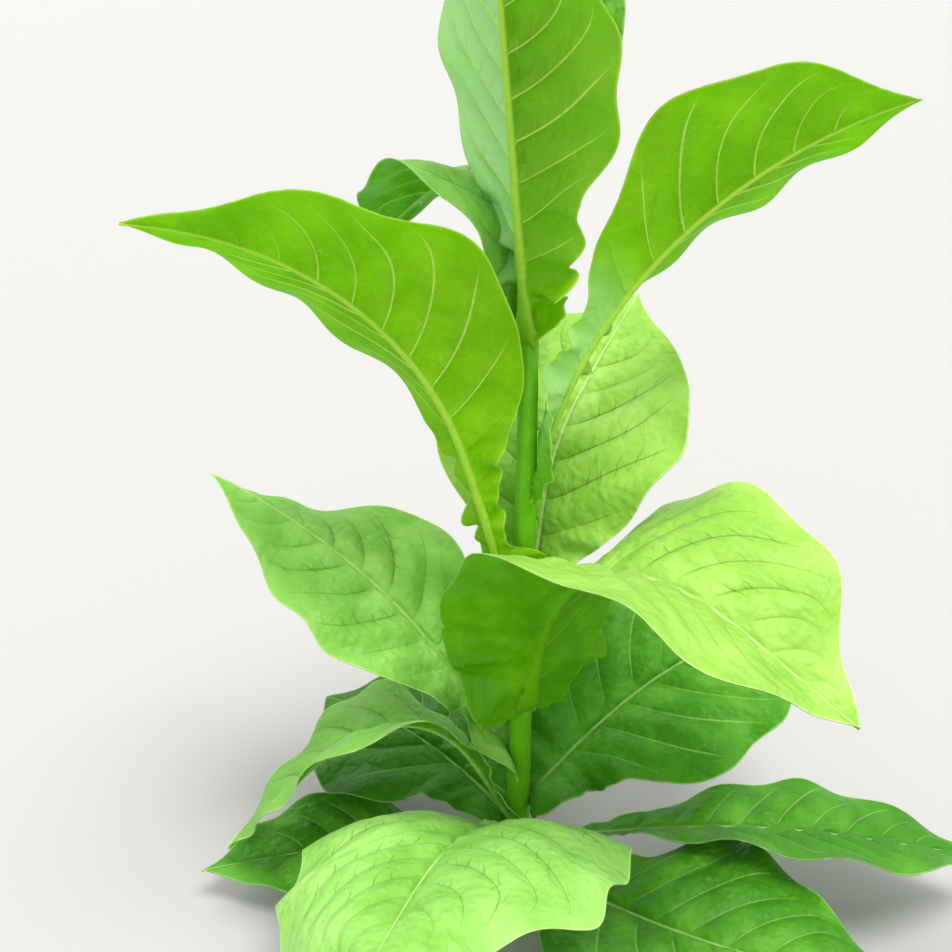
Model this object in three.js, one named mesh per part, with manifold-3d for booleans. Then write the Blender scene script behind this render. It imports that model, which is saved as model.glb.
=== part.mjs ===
// Tobacco plant before it flowers: a tapering stem from a flat cut at ground level, a growing tip
// and separate leaves set round the stem. Millimetres, +Z up, origin at the middle of the flat cut.
import * as THREE from "three";
import Module from "manifold-3d";

const wasm = await Module();
wasm.setup();

// Stem
const STEM_HEIGHT = 900;
const STEM_FOOT_RADIUS = 12.5;
const STEM_TOP_RADIUS = 4.5;
const STEM_TAPER_POWER = 2.2;
const FLARE = 6;
const FLARE_HEIGHT = 18;
const STEM_LEAN_X = 6;
const STEM_LEAN_Y = 4;
const STEM_SIDES = 14;
const FLARE_RINGS = [0, 6, 14, 26, 44];
const RING_SPACING = 34;
const SEAT_GAP = 0.3;

// Growing tip
const TIP_LENGTH = 42;
const TIP_RADIUS = 6;
const TIP_POINT_RADIUS = 0.8;
const TIP_FULLNESS = 0.8;
const TIP_SIDES = 8;
const TIP_RINGS = 6;

// What all leaves share
const LEAF_LENGTH_PER_THICKNESS = 95;
const MIDRIB_DEPTH_AT_FOOT = 6;
const MIDRIB_DEPTH_AT_TIP = 0.8;
const MIDRIB_HALF_SHARE = 0.1;
const MARGIN_SHARES = [0.4, 0.7, 1];
const FOOT_INSIDE_STEM = 3;
const HUG_CLEARANCE = 0.7;
const TIP_HALF_WIDTH = 1.5;
const FOOT_WIDTH_SHARE = 0.4;
const FOOT_END = 0.12;
const POINT_NARROWING = 0.3;
const POINT_START = 0.55;
const FULL_WAVE_HALF_WIDTH = 50;
const WAVE_LAG = 1.3;
const CURVE_STEPS = 120;
const LARGE_LEAF_STATIONS = 17;
const YOUNG_LEAF_STATIONS = 10;

// A leaf's height and azimuth place its foot. Rise is the climb of its midrib at the foot, arc the fall
// of that angle along the whole leaf, and droop a further fall round bend_at. Sweep turns it sideways,
// roll tilts the blade about its midrib and twist adds to it towards the tip, and fold raises both halves
// and open adds to that towards the tip. The winged base opens to the blade between opens and widest.
// Angles are in degrees, lengths in millimetres, and the rest are shares of the leaf's length or width.
const LEAF_DEFAULTS = {
  arc: 20,
  droop: 0,
  bend_at: 0.5,
  bend_span: 0.4,
  sweep: 0,
  roll: 0,
  twist: 0,
  fold: 25,
  open: -15,
  curl: -10,
  wing: 0.2,
  opens: 0.1,
  widest: 0.52,
  taper: 1.9,
  wave: 6,
  waves: 5,
  stations: LARGE_LEAF_STATIONS,
  colour: 0x6fc232,
};
const GROUND_LEAF = { colour: 0x4c9a2e };
const UNDER_LIT_LEAF = { colour: 0x86cf1e };
const YOUNG_LEAF = {
  arc: 10,
  fold: 28,
  open: -8,
  wave: 2,
  waves: 3,
  stations: YOUNG_LEAF_STATIONS,
  colour: 0x8ed64a,
};

const LEAVES = [
  { ...GROUND_LEAF, name: "leaf_01", height: 36, azimuth: 346, length: 520, width: 170, rise: 18,
    droop: 10, sweep: 12, roll: -10, wing: 0.15, widest: 0.62 },
  { ...GROUND_LEAF, name: "leaf_02", height: 16, azimuth: 184, length: 340, width: 150, rise: 8,
    arc: 0, droop: 8, sweep: 12, roll: -8, wing: 0.15 },
  { ...GROUND_LEAF, name: "leaf_03", height: 22, azimuth: 300, length: 460, width: 300, rise: 15,
    arc: 8, droop: 8, sweep: 48, fold: 18 },
  { name: "leaf_04", height: 66, azimuth: 189, length: 430, width: 190, rise: 64,
    droop: 92, bend_at: 0.42, bend_span: 0.5, roll: 16, fold: 26, wing: 0.1, widest: 0.57 },
  { name: "leaf_05", height: 49, azimuth: 249, length: 475, width: 339, rise: 37, arc: -4,
    droop: 28, bend_at: 0.495, bend_span: 0.7, sweep: 7, roll: 7, twist: 9, fold: 30,
    open: -22, curl: -54, wing: 0.14, opens: 0.035, widest: 0.42, taper: 3.4 },
  { ...GROUND_LEAF, name: "leaf_06", height: 56, azimuth: 138, length: 320, width: 290, rise: 26,
    arc: 42, roll: -8, fold: 20, wing: 0.3, widest: 0.46 },
  { ...GROUND_LEAF, name: "leaf_07", height: 84, azimuth: 22, length: 430, width: 290, rise: 46,
    arc: 35, droop: 10, roll: 25, wing: 0.4, widest: 0.45 },
  { name: "leaf_08", height: 134, azimuth: 164, length: 467, width: 202, rise: 64, arc: 42,
    sweep: 2, roll: -60, twist: 60, fold: 54, open: -78, curl: -9, wing: 0.25, opens: 0.1,
    widest: 0.57, taper: 1.5 },
  { name: "leaf_09", height: 206, azimuth: 305, length: 516, width: 298, rise: 77, arc: 3,
    droop: 103, bend_at: 0.475, bend_span: 0.7, sweep: 23, roll: -18, twist: 29, fold: 22,
    open: 7, curl: -11, wing: 0.58, opens: 0.02, widest: 0.54, taper: 2.2 },
  { name: "leaf_10", height: 282, azimuth: 57, length: 435, width: 268, rise: 80, arc: 10,
    droop: 40, roll: 8 },
  { ...UNDER_LIT_LEAF, name: "leaf_11", height: 318, azimuth: 202, length: 603, width: 248,
    rise: 77, arc: 97, droop: -27, bend_at: 0.18, roll: 36, fold: 41, open: -21, wing: 0.13,
    opens: 0.2, widest: 0.59, taper: 1.6 },
  { ...UNDER_LIT_LEAF, name: "leaf_12", height: 452, azimuth: 355, length: 535, width: 216,
    rise: 82, arc: 64, roll: -44, fold: 44, open: -22, wing: 0.26, opens: 0.34, widest: 0.68 },
  { name: "leaf_13", height: 568, azimuth: 136, length: 385, width: 190, rise: 84, arc: 10,
    droop: 110, bend_at: 0.54, wing: 0.1, widest: 0.6 },
  { ...UNDER_LIT_LEAF, name: "leaf_14", height: 612, azimuth: 248, length: 480, width: 200,
    rise: 76, arc: 0, droop: 30, bend_at: 0.85, roll: -20, fold: 26, open: -8, wing: 0.13,
    widest: 0.5 },
  { ...YOUNG_LEAF, name: "leaf_15", height: 665, azimuth: 47, length: 380, width: 140, rise: 80 },
  { ...YOUNG_LEAF, name: "leaf_16", height: 715, azimuth: 170, length: 330, width: 96, rise: 82 },
  { ...YOUNG_LEAF, name: "leaf_17", height: 760, azimuth: 322, length: 280, width: 90, rise: 81 },
  { ...YOUNG_LEAF, name: "leaf_18", height: 800, azimuth: 100, length: 240, width: 72, rise: 82 },
  { ...YOUNG_LEAF, name: "leaf_19", height: 835, azimuth: 237, length: 200, width: 54, rise: 82 },
  { ...YOUNG_LEAF, name: "leaf_20", height: 862, azimuth: 15, length: 160, width: 40, rise: 81 },
];

const STEM_COLOUR = 0x5fa51e;
const TIP_COLOUR = 0xa6dc62;
const LEAF_ROUGHNESS = 0.55;
const STEM_ROUGHNESS = 0.5;

const radians = THREE.MathUtils.degToRad;

function clamp01(x) {
  return Math.min(Math.max(x, 0), 1);
}

function smooth(x) {
  const t = clamp01(x);
  return t * t * (3 - 2 * t);
}

function stemRadius(z) {
  const t = clamp01(z / STEM_HEIGHT);
  const taper = STEM_TOP_RADIUS + (STEM_FOOT_RADIUS - STEM_TOP_RADIUS) * (1 - t ** STEM_TAPER_POWER);
  return taper + FLARE * Math.exp(-Math.max(z, 0) / FLARE_HEIGHT);
}

function stemCentre(z) {
  const t = z / STEM_HEIGHT;
  return new THREE.Vector3(STEM_LEAN_X * t, STEM_LEAN_Y * t, z);
}

// A solid from its corner points and triangles.
function solidFrom(points, triangles) {
  const vertProperties = new Float32Array(points.flatMap((p) => [p.x, p.y, p.z]));
  const triVerts = new Uint32Array(triangles.flat());
  return new wasm.Manifold(new wasm.Mesh({ numProp: 3, vertProperties, triVerts }));
}

// A closed round form about the stem's line: one ring of points for each height, with flat ends.
function roundForm(heights, radiusAt, sides) {
  const points = [];
  const triangles = [];
  for (const z of heights) {
    const middle = stemCentre(z);
    for (let k = 0; k < sides; k += 1) {
      const angle = (2 * Math.PI * k) / sides;
      const reach = new THREE.Vector3(Math.cos(angle), Math.sin(angle), 0);
      points.push(middle.clone().addScaledVector(reach, radiusAt(z)));
    }
  }
  for (let ring = 0; ring + 1 < heights.length; ring += 1) {
    for (let k = 0; k < sides; k += 1) {
      const a = ring * sides + k;
      const b = ring * sides + ((k + 1) % sides);
      triangles.push([a, b, b + sides], [a, b + sides, a + sides]);
    }
  }
  const last = (heights.length - 1) * sides;
  for (let k = 1; k + 1 < sides; k += 1) {
    triangles.push([0, k + 1, k], [last, last + k, last + k + 1]);
  }
  return solidFrom(points, triangles);
}

function stemHeights(bottom, top) {
  const heights = [bottom, ...FLARE_RINGS.slice(1)];
  const rings = Math.round((top - FLARE_RINGS.at(-1)) / RING_SPACING);
  for (let k = 1; k <= rings; k += 1) {
    heights.push(FLARE_RINGS.at(-1) + ((top - FLARE_RINGS.at(-1)) * k) / rings);
  }
  return heights;
}

function growingTip() {
  const foot = STEM_HEIGHT + SEAT_GAP;
  const heights = [];
  for (let k = 0; k <= TIP_RINGS; k += 1) {
    heights.push(foot + (TIP_LENGTH * k) / TIP_RINGS);
  }
  const radiusAt = (z) => {
    const t = (z - foot) / TIP_LENGTH;
    const swell = Math.sin((Math.PI * (1 + 3 * t)) / 4) ** TIP_FULLNESS;
    return Math.max(TIP_RADIUS * swell, TIP_POINT_RADIUS);
  };
  return roundForm(heights, radiusAt, TIP_SIDES);
}

// Share of the full half width at s, from 0 at the foot to 1 at the tip: a narrow winged base that opens
// to a pointed blade.
function widthShare(leaf, s) {
  if (s < leaf.widest) {
    const opening = smooth((s - leaf.opens) / (leaf.widest - leaf.opens));
    const foot = FOOT_WIDTH_SHARE + (1 - FOOT_WIDTH_SHARE) * smooth(s / FOOT_END);
    return (leaf.wing + (1 - leaf.wing) * opening) * foot;
  }
  const u = (s - leaf.widest) / (1 - leaf.widest);
  const point = 1 - POINT_NARROWING * smooth((u - POINT_START) / (1 - POINT_START));
  return (1 - u ** leaf.taper) * point;
}

// The midrib's points and frames, stepped out from the stem.
function midribOf(leaf) {
  const foot = radians(leaf.azimuth);
  const outward = new THREE.Vector3(Math.cos(foot), Math.sin(foot), 0);
  const reach = stemRadius(leaf.height) - FOOT_INSIDE_STEM;
  const point = stemCentre(leaf.height).addScaledVector(outward, reach);
  const stations = [];
  const step = (leaf.length + FOOT_INSIDE_STEM) / CURVE_STEPS;
  for (let k = 0; k <= CURVE_STEPS; k += 1) {
    const s = k / CURVE_STEPS;
    const bend = smooth((s - leaf.bend_at) / leaf.bend_span + 0.5);
    const climb = radians(leaf.rise - leaf.arc * s - leaf.droop * bend);
    const turn = radians(leaf.azimuth + leaf.sweep * smooth(s));
    const along = new THREE.Vector3(
      Math.cos(climb) * Math.cos(turn),
      Math.cos(climb) * Math.sin(turn),
      Math.sin(climb),
    );
    const side = new THREE.Vector3(-Math.sin(turn), Math.cos(turn), 0);
    const up = along.clone().cross(side);
    const roll = radians(leaf.roll + leaf.twist * smooth(s));
    if (k > 0) point.addScaledVector(along, step);
    stations.push({
      s,
      point: point.clone(),
      side: side.clone().multiplyScalar(Math.cos(roll)).addScaledVector(up, Math.sin(roll)),
      up: up.clone().multiplyScalar(Math.cos(roll)).addScaledVector(side, -Math.sin(roll)),
    });
  }
  return stations;
}

// A point of the blade's middle surface: v runs from -1 at one margin to 1 at the other.
function bladePoint(leaf, station, v) {
  const { s, point, side, up } = station;
  const across = Math.abs(v);
  const half = v < 0 ? -1 : 1;
  const halfWidth = Math.max((leaf.width / 2) * widthShare(leaf, s), TIP_HALF_WIDTH);
  const fold = radians(leaf.fold + leaf.open * smooth(s));
  const curl = radians(leaf.curl);
  const outward = (Math.sin(fold + curl * across) - Math.sin(fold)) / curl;
  const raised = (Math.cos(fold) - Math.cos(fold + curl * across)) / curl;
  const phase = 2 * Math.PI * leaf.waves * s + (half > 0 ? WAVE_LAG : 0);
  const depth = leaf.wave * Math.min(1, halfWidth / FULL_WAVE_HALF_WIDTH);
  const ripple = depth * across ** 2 * Math.sin(phase);
  return point
    .clone()
    .addScaledVector(side, half * outward * halfWidth)
    .addScaledVector(up, raised * halfWidth + ripple);
}

// The blade's base wraps round the stem where it would run into it.
function keepOffStem(point, clearance) {
  const middle = stemCentre(point.z);
  const away = new THREE.Vector3(point.x - middle.x, point.y - middle.y, 0);
  const least = stemRadius(point.z) + clearance;
  if (point.z > STEM_HEIGHT || away.length() >= least) return point;
  return middle.addScaledVector(away.normalize(), least);
}

function leafSolid(leaf, stemClear) {
  const thickness = leaf.length / LEAF_LENGTH_PER_THICKNESS;
  const curve = midribOf(leaf);
  const rib = MIDRIB_HALF_SHARE;
  const shares = [...MARGIN_SHARES.map((v) => -v).reverse(), -rib, 0, rib, ...MARGIN_SHARES];
  const columns = shares.length;
  const rows = leaf.stations;
  const middle = [];
  for (let i = 0; i < rows; i += 1) {
    const station = curve[Math.round((CURVE_STEPS * i) / (rows - 1))];
    const row = shares.map((v) => {
      const point = bladePoint(leaf, station, v);
      const isFoot = i === 0 && Math.abs(v) <= rib;
      return isFoot ? point : keepOffStem(point, thickness / 2 + HUG_CLEARANCE);
    });
    middle.push(row);
  }
  const upper = [];
  const under = [];
  for (let i = 0; i < rows; i += 1) {
    for (let j = 0; j < columns; j += 1) {
      const before = middle[Math.max(i - 1, 0)][j];
      const after = middle[Math.min(i + 1, rows - 1)][j];
      const left = middle[i][Math.max(j - 1, 0)];
      const right = middle[i][Math.min(j + 1, columns - 1)];
      const along = after.clone().sub(before);
      const across = right.clone().sub(left);
      const normal = along.cross(across).normalize();
      const fade = i / (rows - 1);
      const ribDepth = MIDRIB_DEPTH_AT_FOOT + (MIDRIB_DEPTH_AT_TIP - MIDRIB_DEPTH_AT_FOOT) * fade;
      const depth = thickness / 2 + (shares[j] === 0 ? ribDepth : 0);
      upper.push(middle[i][j].clone().addScaledVector(normal, thickness / 2));
      under.push(middle[i][j].clone().addScaledVector(normal, -depth));
    }
  }
  const points = [...upper, ...under];
  const below = upper.length;
  const at = (i, j) => i * columns + j;
  const triangles = [];
  for (let i = 0; i + 1 < rows; i += 1) {
    for (let j = 0; j + 1 < columns; j += 1) {
      const [a, b, c, d] = [at(i, j), at(i + 1, j), at(i + 1, j + 1), at(i, j + 1)];
      triangles.push([a, b, c], [a, c, d]);
      triangles.push([below + a, below + c, below + b], [below + a, below + d, below + c]);
    }
    const [l0, l1] = [at(i, 0), at(i + 1, 0)];
    const [r0, r1] = [at(i, columns - 1), at(i + 1, columns - 1)];
    triangles.push([l0, below + l0, below + l1], [l0, below + l1, l1]);
    triangles.push([r0, below + r1, below + r0], [r0, r1, below + r1]);
  }
  for (let j = 0; j + 1 < columns; j += 1) {
    const [f0, f1] = [at(0, j), at(0, j + 1)];
    const [t0, t1] = [at(rows - 1, j), at(rows - 1, j + 1)];
    triangles.push([f0, below + f1, below + f0], [f0, f1, below + f1]);
    triangles.push([t0, below + t0, below + t1], [t0, below + t1, t1]);
  }
  const pieces = solidFrom(points, triangles).subtract(stemClear).decompose();
  pieces.sort((a, b) => b.volume() - a.volume());
  return pieces[0];
}

function meshOf(name, solid, colour, roughness) {
  const { vertProperties, triVerts } = solid.getMesh();
  const geometry = new THREE.BufferGeometry();
  geometry.setAttribute("position", new THREE.BufferAttribute(vertProperties, 3));
  geometry.setIndex(new THREE.BufferAttribute(triVerts, 1));
  const material = new THREE.MeshStandardMaterial({ color: colour, roughness, metalness: 0 });
  const mesh = new THREE.Mesh(geometry, material);
  mesh.name = name;
  return mesh;
}

const plant = new THREE.Group();
plant.name = "tobacco_plant";

const stem = roundForm(stemHeights(0, STEM_HEIGHT), stemRadius, STEM_SIDES);
plant.add(meshOf("stem", stem, STEM_COLOUR, STEM_ROUGHNESS));
plant.add(meshOf("growing_tip", growingTip(), TIP_COLOUR, LEAF_ROUGHNESS));

const stemClear = roundForm(
  stemHeights(-1, STEM_HEIGHT),
  (z) => stemRadius(z) + SEAT_GAP,
  STEM_SIDES,
);
for (const sizes of LEAVES) {
  const leaf = { ...LEAF_DEFAULTS, ...sizes };
  plant.add(meshOf(leaf.name, leafSolid(leaf, stemClear), leaf.colour, LEAF_ROUGHNESS));
}

export default plant;
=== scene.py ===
"""Looks of the tobacco plant: stem, growing tip and leaves, finely modelled round the frame."""

import logging
import math
from dataclasses import dataclass, field
from enum import Enum
from typing import Callable

import bpy
import numpy as np
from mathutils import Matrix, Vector

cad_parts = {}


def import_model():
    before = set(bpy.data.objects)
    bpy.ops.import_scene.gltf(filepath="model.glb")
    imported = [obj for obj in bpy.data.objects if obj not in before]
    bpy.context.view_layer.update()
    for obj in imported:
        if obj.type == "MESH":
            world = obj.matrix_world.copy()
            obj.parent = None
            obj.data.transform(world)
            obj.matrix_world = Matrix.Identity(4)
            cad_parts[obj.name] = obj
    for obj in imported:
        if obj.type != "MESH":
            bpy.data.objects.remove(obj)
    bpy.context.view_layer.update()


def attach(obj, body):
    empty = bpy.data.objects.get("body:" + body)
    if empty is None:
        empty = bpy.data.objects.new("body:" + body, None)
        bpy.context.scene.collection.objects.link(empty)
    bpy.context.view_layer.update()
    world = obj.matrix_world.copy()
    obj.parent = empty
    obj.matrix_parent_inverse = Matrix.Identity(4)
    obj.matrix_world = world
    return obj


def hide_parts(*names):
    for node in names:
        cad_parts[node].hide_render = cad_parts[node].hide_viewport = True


LOG = logging.getLogger("tobacco_plant")
MM = 0.001
ROOT = "root"
BAKE_MAP = "OFBake"

# Values that each vertex holds for the materials
BLADE_COORDS = "blade"
RIB_MASK = "rib"
EDGE = "edge"
VEIN_FORCE = "force"
# Painted sheen: how much of a pale colour, standing in for the sky's reflection, each vertex gets
PAINTED_SHEEN = "painted_sheen"
UNDER_MASK = "under"
TONE = "tone"

Array = np.ndarray
Colour = tuple[float, float, float]
ScreenColour = tuple[int, int, int]


class LeafKind(Enum):
    """How old and how well lit a leaf is, which decides its finish."""

    # Low leaves, finished darker as painted shade from the leaves above
    GROUND = "ground"
    MIDDLE = "middle"
    SUNNY = "sunny"
    LIT = "lit"
    YOUNG = "young"

    @property
    def slot(self) -> str:
        """The record's material slot for this kind."""
        return "middle_leaf" if self is LeafKind.SUNNY else f"{self.value}_leaf"


def smooth(x: Array | float) -> Array:
    """A soft step from 0 up to x = 0 to 1 from x = 1."""
    t = np.clip(x, 0.0, 1.0)
    return t * t * (3 - 2 * t)


def rises(x: Array | float, start: float, over: float) -> Array:
    """A soft step from 0 at start to 1 at start + over."""
    return smooth((x - start) / over)


def fades(x: Array | float, start: float, over: float) -> Array:
    """A soft step from 1 at start to 0 at start + over."""
    return 1 - smooth((x - start) / over)


def unit(v: Array) -> Array:
    """Vectors of length 1 in the same directions."""
    return v / np.maximum(np.linalg.norm(v, axis=-1, keepdims=True), 1e-12)


def ring(angle: Array, radius: Array, lift: Array | float = 0.0) -> Array:
    """Points at each angle and radius round the upright axis, as rows of x, y and z."""
    return np.stack([np.cos(angle) * radius, np.sin(angle) * radius, lift + 0 * angle], -1)


def soft_noise(x: Array, y: Array, seed: int) -> Array:
    """Smooth noise from -1 to 1 that changes over about one unit.

    Args:
        x: First coordinate.
        y: Second coordinate, of a shape that goes with x.
        seed: Chooses the pattern.

    Returns:
        The noise at each point.
    """
    side = 64
    table = np.random.default_rng(seed).uniform(-1, 1, (side, side))
    x, y = np.broadcast_arrays(x, y)
    left, low = np.floor(x).astype(int), np.floor(y).astype(int)
    fx, fy = smooth(x - left), smooth(y - low)
    at = [[table[(left + i) % side, (low + j) % side] for j in (0, 1)] for i in (0, 1)]
    near = at[0][0] * (1 - fx) + at[1][0] * fx
    far = at[0][1] * (1 - fx) + at[1][1] * fx
    return near * (1 - fy) + far * fy


def linear(*screen: int) -> Colour:
    """A colour as seen on screen, from 0 to 255, as the linear values that shaders take."""
    shares = (value / 255 for value in screen)
    return tuple(
        share / 12.92 if share <= 0.04045 else ((share + 0.055) / 1.055) ** 2.4 for share in shares
    )


# Meshes


def deselect_all() -> None:
    """Leaves object mode's selection empty."""
    bpy.ops.object.select_all(action="DESELECT")


def only_active(piece: bpy.types.Object) -> None:
    """Selects one object and makes it active."""
    deselect_all()
    piece.select_set(True)
    bpy.context.view_layer.objects.active = piece


def apply_modifier(piece: bpy.types.Object, kind: str, **values: float | bool | str) -> None:
    """Adds a modifier to a piece and applies it.

    Args:
        piece: The object.
        kind: Blender's name for the modifier's type.
        values: Its settings.
    """
    only_active(piece)
    modifier = piece.modifiers.new(kind.lower(), kind)
    for key, value in values.items():
        setattr(modifier, key, value)
    bpy.ops.object.modifier_apply(modifier=modifier.name)


def shade_smooth(piece: bpy.types.Object, sharpest: float) -> None:
    """Shades a piece smoothly, except over edges that bend by more than sharpest degrees."""
    only_active(piece)
    bpy.ops.object.shade_smooth_by_angle(angle=math.radians(sharpest))


def vertex_places(piece: bpy.types.Object) -> Array:
    """A piece's vertices as rows of x, y and z."""
    places = np.empty(len(piece.data.vertices) * 3)
    piece.data.vertices.foreach_get("co", places)
    return places.reshape(-1, 3)


def move_vertices(piece: bpy.types.Object, places: Array) -> None:
    """Puts a piece's vertices at the given places, in metres."""
    piece.data.vertices.foreach_set("co", places.ravel())
    piece.data.update()


def add_point_values(piece: bpy.types.Object, values: dict[str, Array]) -> None:
    """Stores values for each vertex, for the materials to read.

    Args:
        piece: The object.
        values: By attribute name, one number, or one row of three, for each vertex.
    """
    for name, numbers in values.items():
        kind, key = ("FLOAT_VECTOR", "vector") if numbers.ndim == 2 else ("FLOAT", "value")
        attribute = piece.data.attributes.new(name, kind, "POINT")
        attribute.data.foreach_set(key, numbers.astype(np.float32).ravel())


def lay_out_map(piece: bpy.types.Object, across: Array, along: Array) -> None:
    """Gives the piece its one texture map.

    Args:
        piece: The object.
        across: Each vertex's place across the map, from 0 to 1.
        along: Its place along the map.
    """
    layers = piece.data.uv_layers
    layer = layers[0] if layers else layers.new(name=BAKE_MAP)
    layer.name = BAKE_MAP
    corners = np.empty(len(piece.data.loops), dtype=np.int32)
    piece.data.loops.foreach_get("vertex_index", corners)
    places = np.stack([across, along], -1)
    layer.data.foreach_set("uv", places[corners].astype(np.float32).ravel())


@dataclass
class ThinGrid:
    """A closed thin sheet made from a grid, with a place in the grid for each vertex.

    Attributes:
        piece: The object.
        row: Each vertex's row.
        column: Each vertex's column.
        is_under: True for the vertices of the under side.
    """

    piece: bpy.types.Object
    row: Array
    column: Array
    is_under: Array


def thin_grid(name: str, rows: int, columns: int) -> ThinGrid:
    """Adds a grid, gives it a wall and finds each vertex's place in it.

    Args:
        name: The piece's name.
        rows: How many rows of vertices, along x.
        columns: How many columns of vertices, along y.

    Returns:
        The sheet, flat and two units wide.
    """
    wall = 0.01
    deselect_all()
    bpy.ops.mesh.primitive_grid_add(x_subdivisions=rows - 1, y_subdivisions=columns - 1, size=2)
    piece = bpy.context.object
    piece.name = piece.data.name = name
    apply_modifier(piece, "SOLIDIFY", thickness=wall, offset=-1.0)
    places = vertex_places(piece)
    row = np.rint((places[:, 0] + 1) / 2 * (rows - 1)).astype(int)
    column = np.rint((places[:, 1] + 1) / 2 * (columns - 1)).astype(int)
    return ThinGrid(piece, row, column, places[:, 2] < -wall / 2)


# Shapes


@dataclass(frozen=True)
class StemLine:
    """The stem's line and thickness, in millimetres, as the solids have them."""

    height: float = 900
    foot_radius: float = 12.5
    top_radius: float = 4.5
    taper_power: float = 2.2
    flare: float = 6
    flare_height: float = 18
    lean_x: float = 6
    lean_y: float = 4

    def radius(self, z: Array | float) -> Array:
        """The stem's radius at each height."""
        t = np.clip(np.asarray(z) / self.height, 0, 1)
        taper = self.top_radius + (self.foot_radius - self.top_radius) * (1 - t**self.taper_power)
        return taper + self.flare * np.exp(-np.maximum(z, 0) / self.flare_height)

    def centre(self, z: Array | float) -> Array:
        """The middle of the stem at each height."""
        z = np.asarray(z, dtype=float)
        t = z / self.height
        return np.stack([self.lean_x * t, self.lean_y * t, z], -1)


@dataclass(frozen=True)
class Frames:
    """Points of a leaf's midrib, each with its side and up directions."""

    s: Array
    point: Array
    side: Array
    up: Array

    def at(self, s: Array) -> tuple[Array, Array, Array]:
        """The point, side and up at each s."""
        tables = (self.point, self.side, self.up)
        return tuple(
            np.stack([np.interp(s, self.s, table[:, k]) for k in range(3)], -1) for table in tables
        )


# The solids' own rule for a blade
CURVE_STEPS = 480
FOOT_INSIDE_STEM = 3.0
FOOT_WIDTH_SHARE = 0.4
FOOT_END = 0.12
POINT_NARROWING = 0.3
POINT_START = 0.55
TIP_HALF_WIDTH = 0.9
FULL_WAVE_HALF_WIDTH = 50.0
WAVE_LAG = 1.3
WALL = 0.9

# Midrib and side veins
FULL_LENGTH = 500.0
RIB_FOOT_RADIUS = 3.3
RIB_END_RADIUS = 0.55
RIB_TAPER = 0.85
RIB_SWELLING = 0.35
RIB_SWELLING_LENGTH = 30.0
RIB_EASES_IN = 18.0
RIB_HEIGHT = 1.05
CHANNEL_WIDTH = 0.55
BESIDE_RIB_FROM = 0.9
BESIDE_RIB_OVER = 1.4
VEIN_SPACING = 38.0
FEWEST_VEINS = 6
STRONG_VEIN = 0.95
WEAK_VEIN = 0.6
VEIN_CHANCE = (-0.25, 0.15)
VEIN_FORWARD = 0.95
VEIN_ARCH = 0.55
VEIN_STAGGER = 0.42
VEIN_SLANT = 0.8
VEIN_RADIUS = 0.95
VEIN_TAPER = 0.7
VEIN_END_RADIUS = 0.35
VEIN_HEIGHT = 1.5
CREASE_WIDTH = 1.3
CREASE_DEPTH = 0.9
VEINS_START = 60.0
VEINS_END = 0.05
LOST_AT_MARGIN = 0.8
VEINS_FADE_FROM = 0.62
VEINS_FADE_OVER = 0.35
MOST_BACKWARD = 0.6

# Rows and columns of the mesh
ROWS_ROUND_VEIN = (
    -0.13, -0.06, -0.025, 0.0, 0.025, 0.06, 0.13, 0.19, 0.25,
    0.31, 0.37, 0.43, 0.5, 0.57, 0.63, 0.69, 0.75, 0.81,
)
CLOSEST_ROWS = 0.75
LAST_ROW = 0.996
EAR_ROW_SPACING = 1.5
FRILL_ROW_SPACING = 2.0
FRILL_ROWS_PAST_OPENING = 0.2
RIB_COLUMNS = 5
RIB_COLUMNS_REACH = 1.35
WIDEST_RIB_SHARE = 0.7
BLADE_SHARPEST = 75.0
STEM_SHARPEST = 60.0

# How a blade's foot lies round the stem
STEM_CLEARANCE = 1.3
PASSING_START = 12.0
EAR_OPENING = 5.0
EAR_FREE = 9.0
EAR_FLARE = 0.18
EAR_RISE = 0.3
EAR_CLOSES_AT = 1.7
EAR_LETS_GO = 0.67
EAR_RIPPLE = 0.6
PAST_LIMIT_SPREAD = 0.85
WIDEST_HOLD = 98.0

# Frills and puckers
SCALLOP = 0.35
LONG_FOLD = 43.0
SHORT_FOLD = 25.0
LONG_FOLD_SHARE = 0.75
SHORT_FOLD_SHARE = 0.4
FRILL_FULL_WIDTH = 26.0
FRILL_STEEPNESS = 1.4
FRILL_START = 24.0
FRILLS_FADE_FROM = 0.06
FRILLS_FADE_OVER = 0.26
CRINKLE_START = 60.0
SWELL_SIZE = 3.0
SWELL_LENGTH = 90.0
SWELL_WIDTH = 60.0
QUILT_STARTS_TO_END = 0.45
QUILT_ENDS = 0.95
CELL_WIDTH = 16.0
CELL_SHARE = 0.28


@dataclass(frozen=True)
class Unevenness:
    """Soft noise along a leaf, with a pattern of its own in each half.

    Attributes:
        size: How much it changes what it is used for.
        length: Over how many millimetres of the leaf it changes.
        apart: How far apart in the noise the two halves lie.
        layer: Added to the leaf's seed, so that each use differs.
    """

    size: float
    length: float
    apart: float
    layer: int

    def at(self, run: Array, half: Array, seed: int) -> Array:
        """Its value at each run along the leaf, in the half -1 or 1."""
        return self.size * soft_noise(run / self.length, half * self.apart, seed + self.layer)


MARGIN_UNEVEN = Unevenness(0.05, 48, 3, 0)
FOLDS_UNEVEN = Unevenness(0.9, 44, 5, 1)
CRINKLE = Unevenness(1.6, 38, 7, 2)
FRILL_DEPTH_UNEVEN = Unevenness(0.5, 50, 9, 7)


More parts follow.
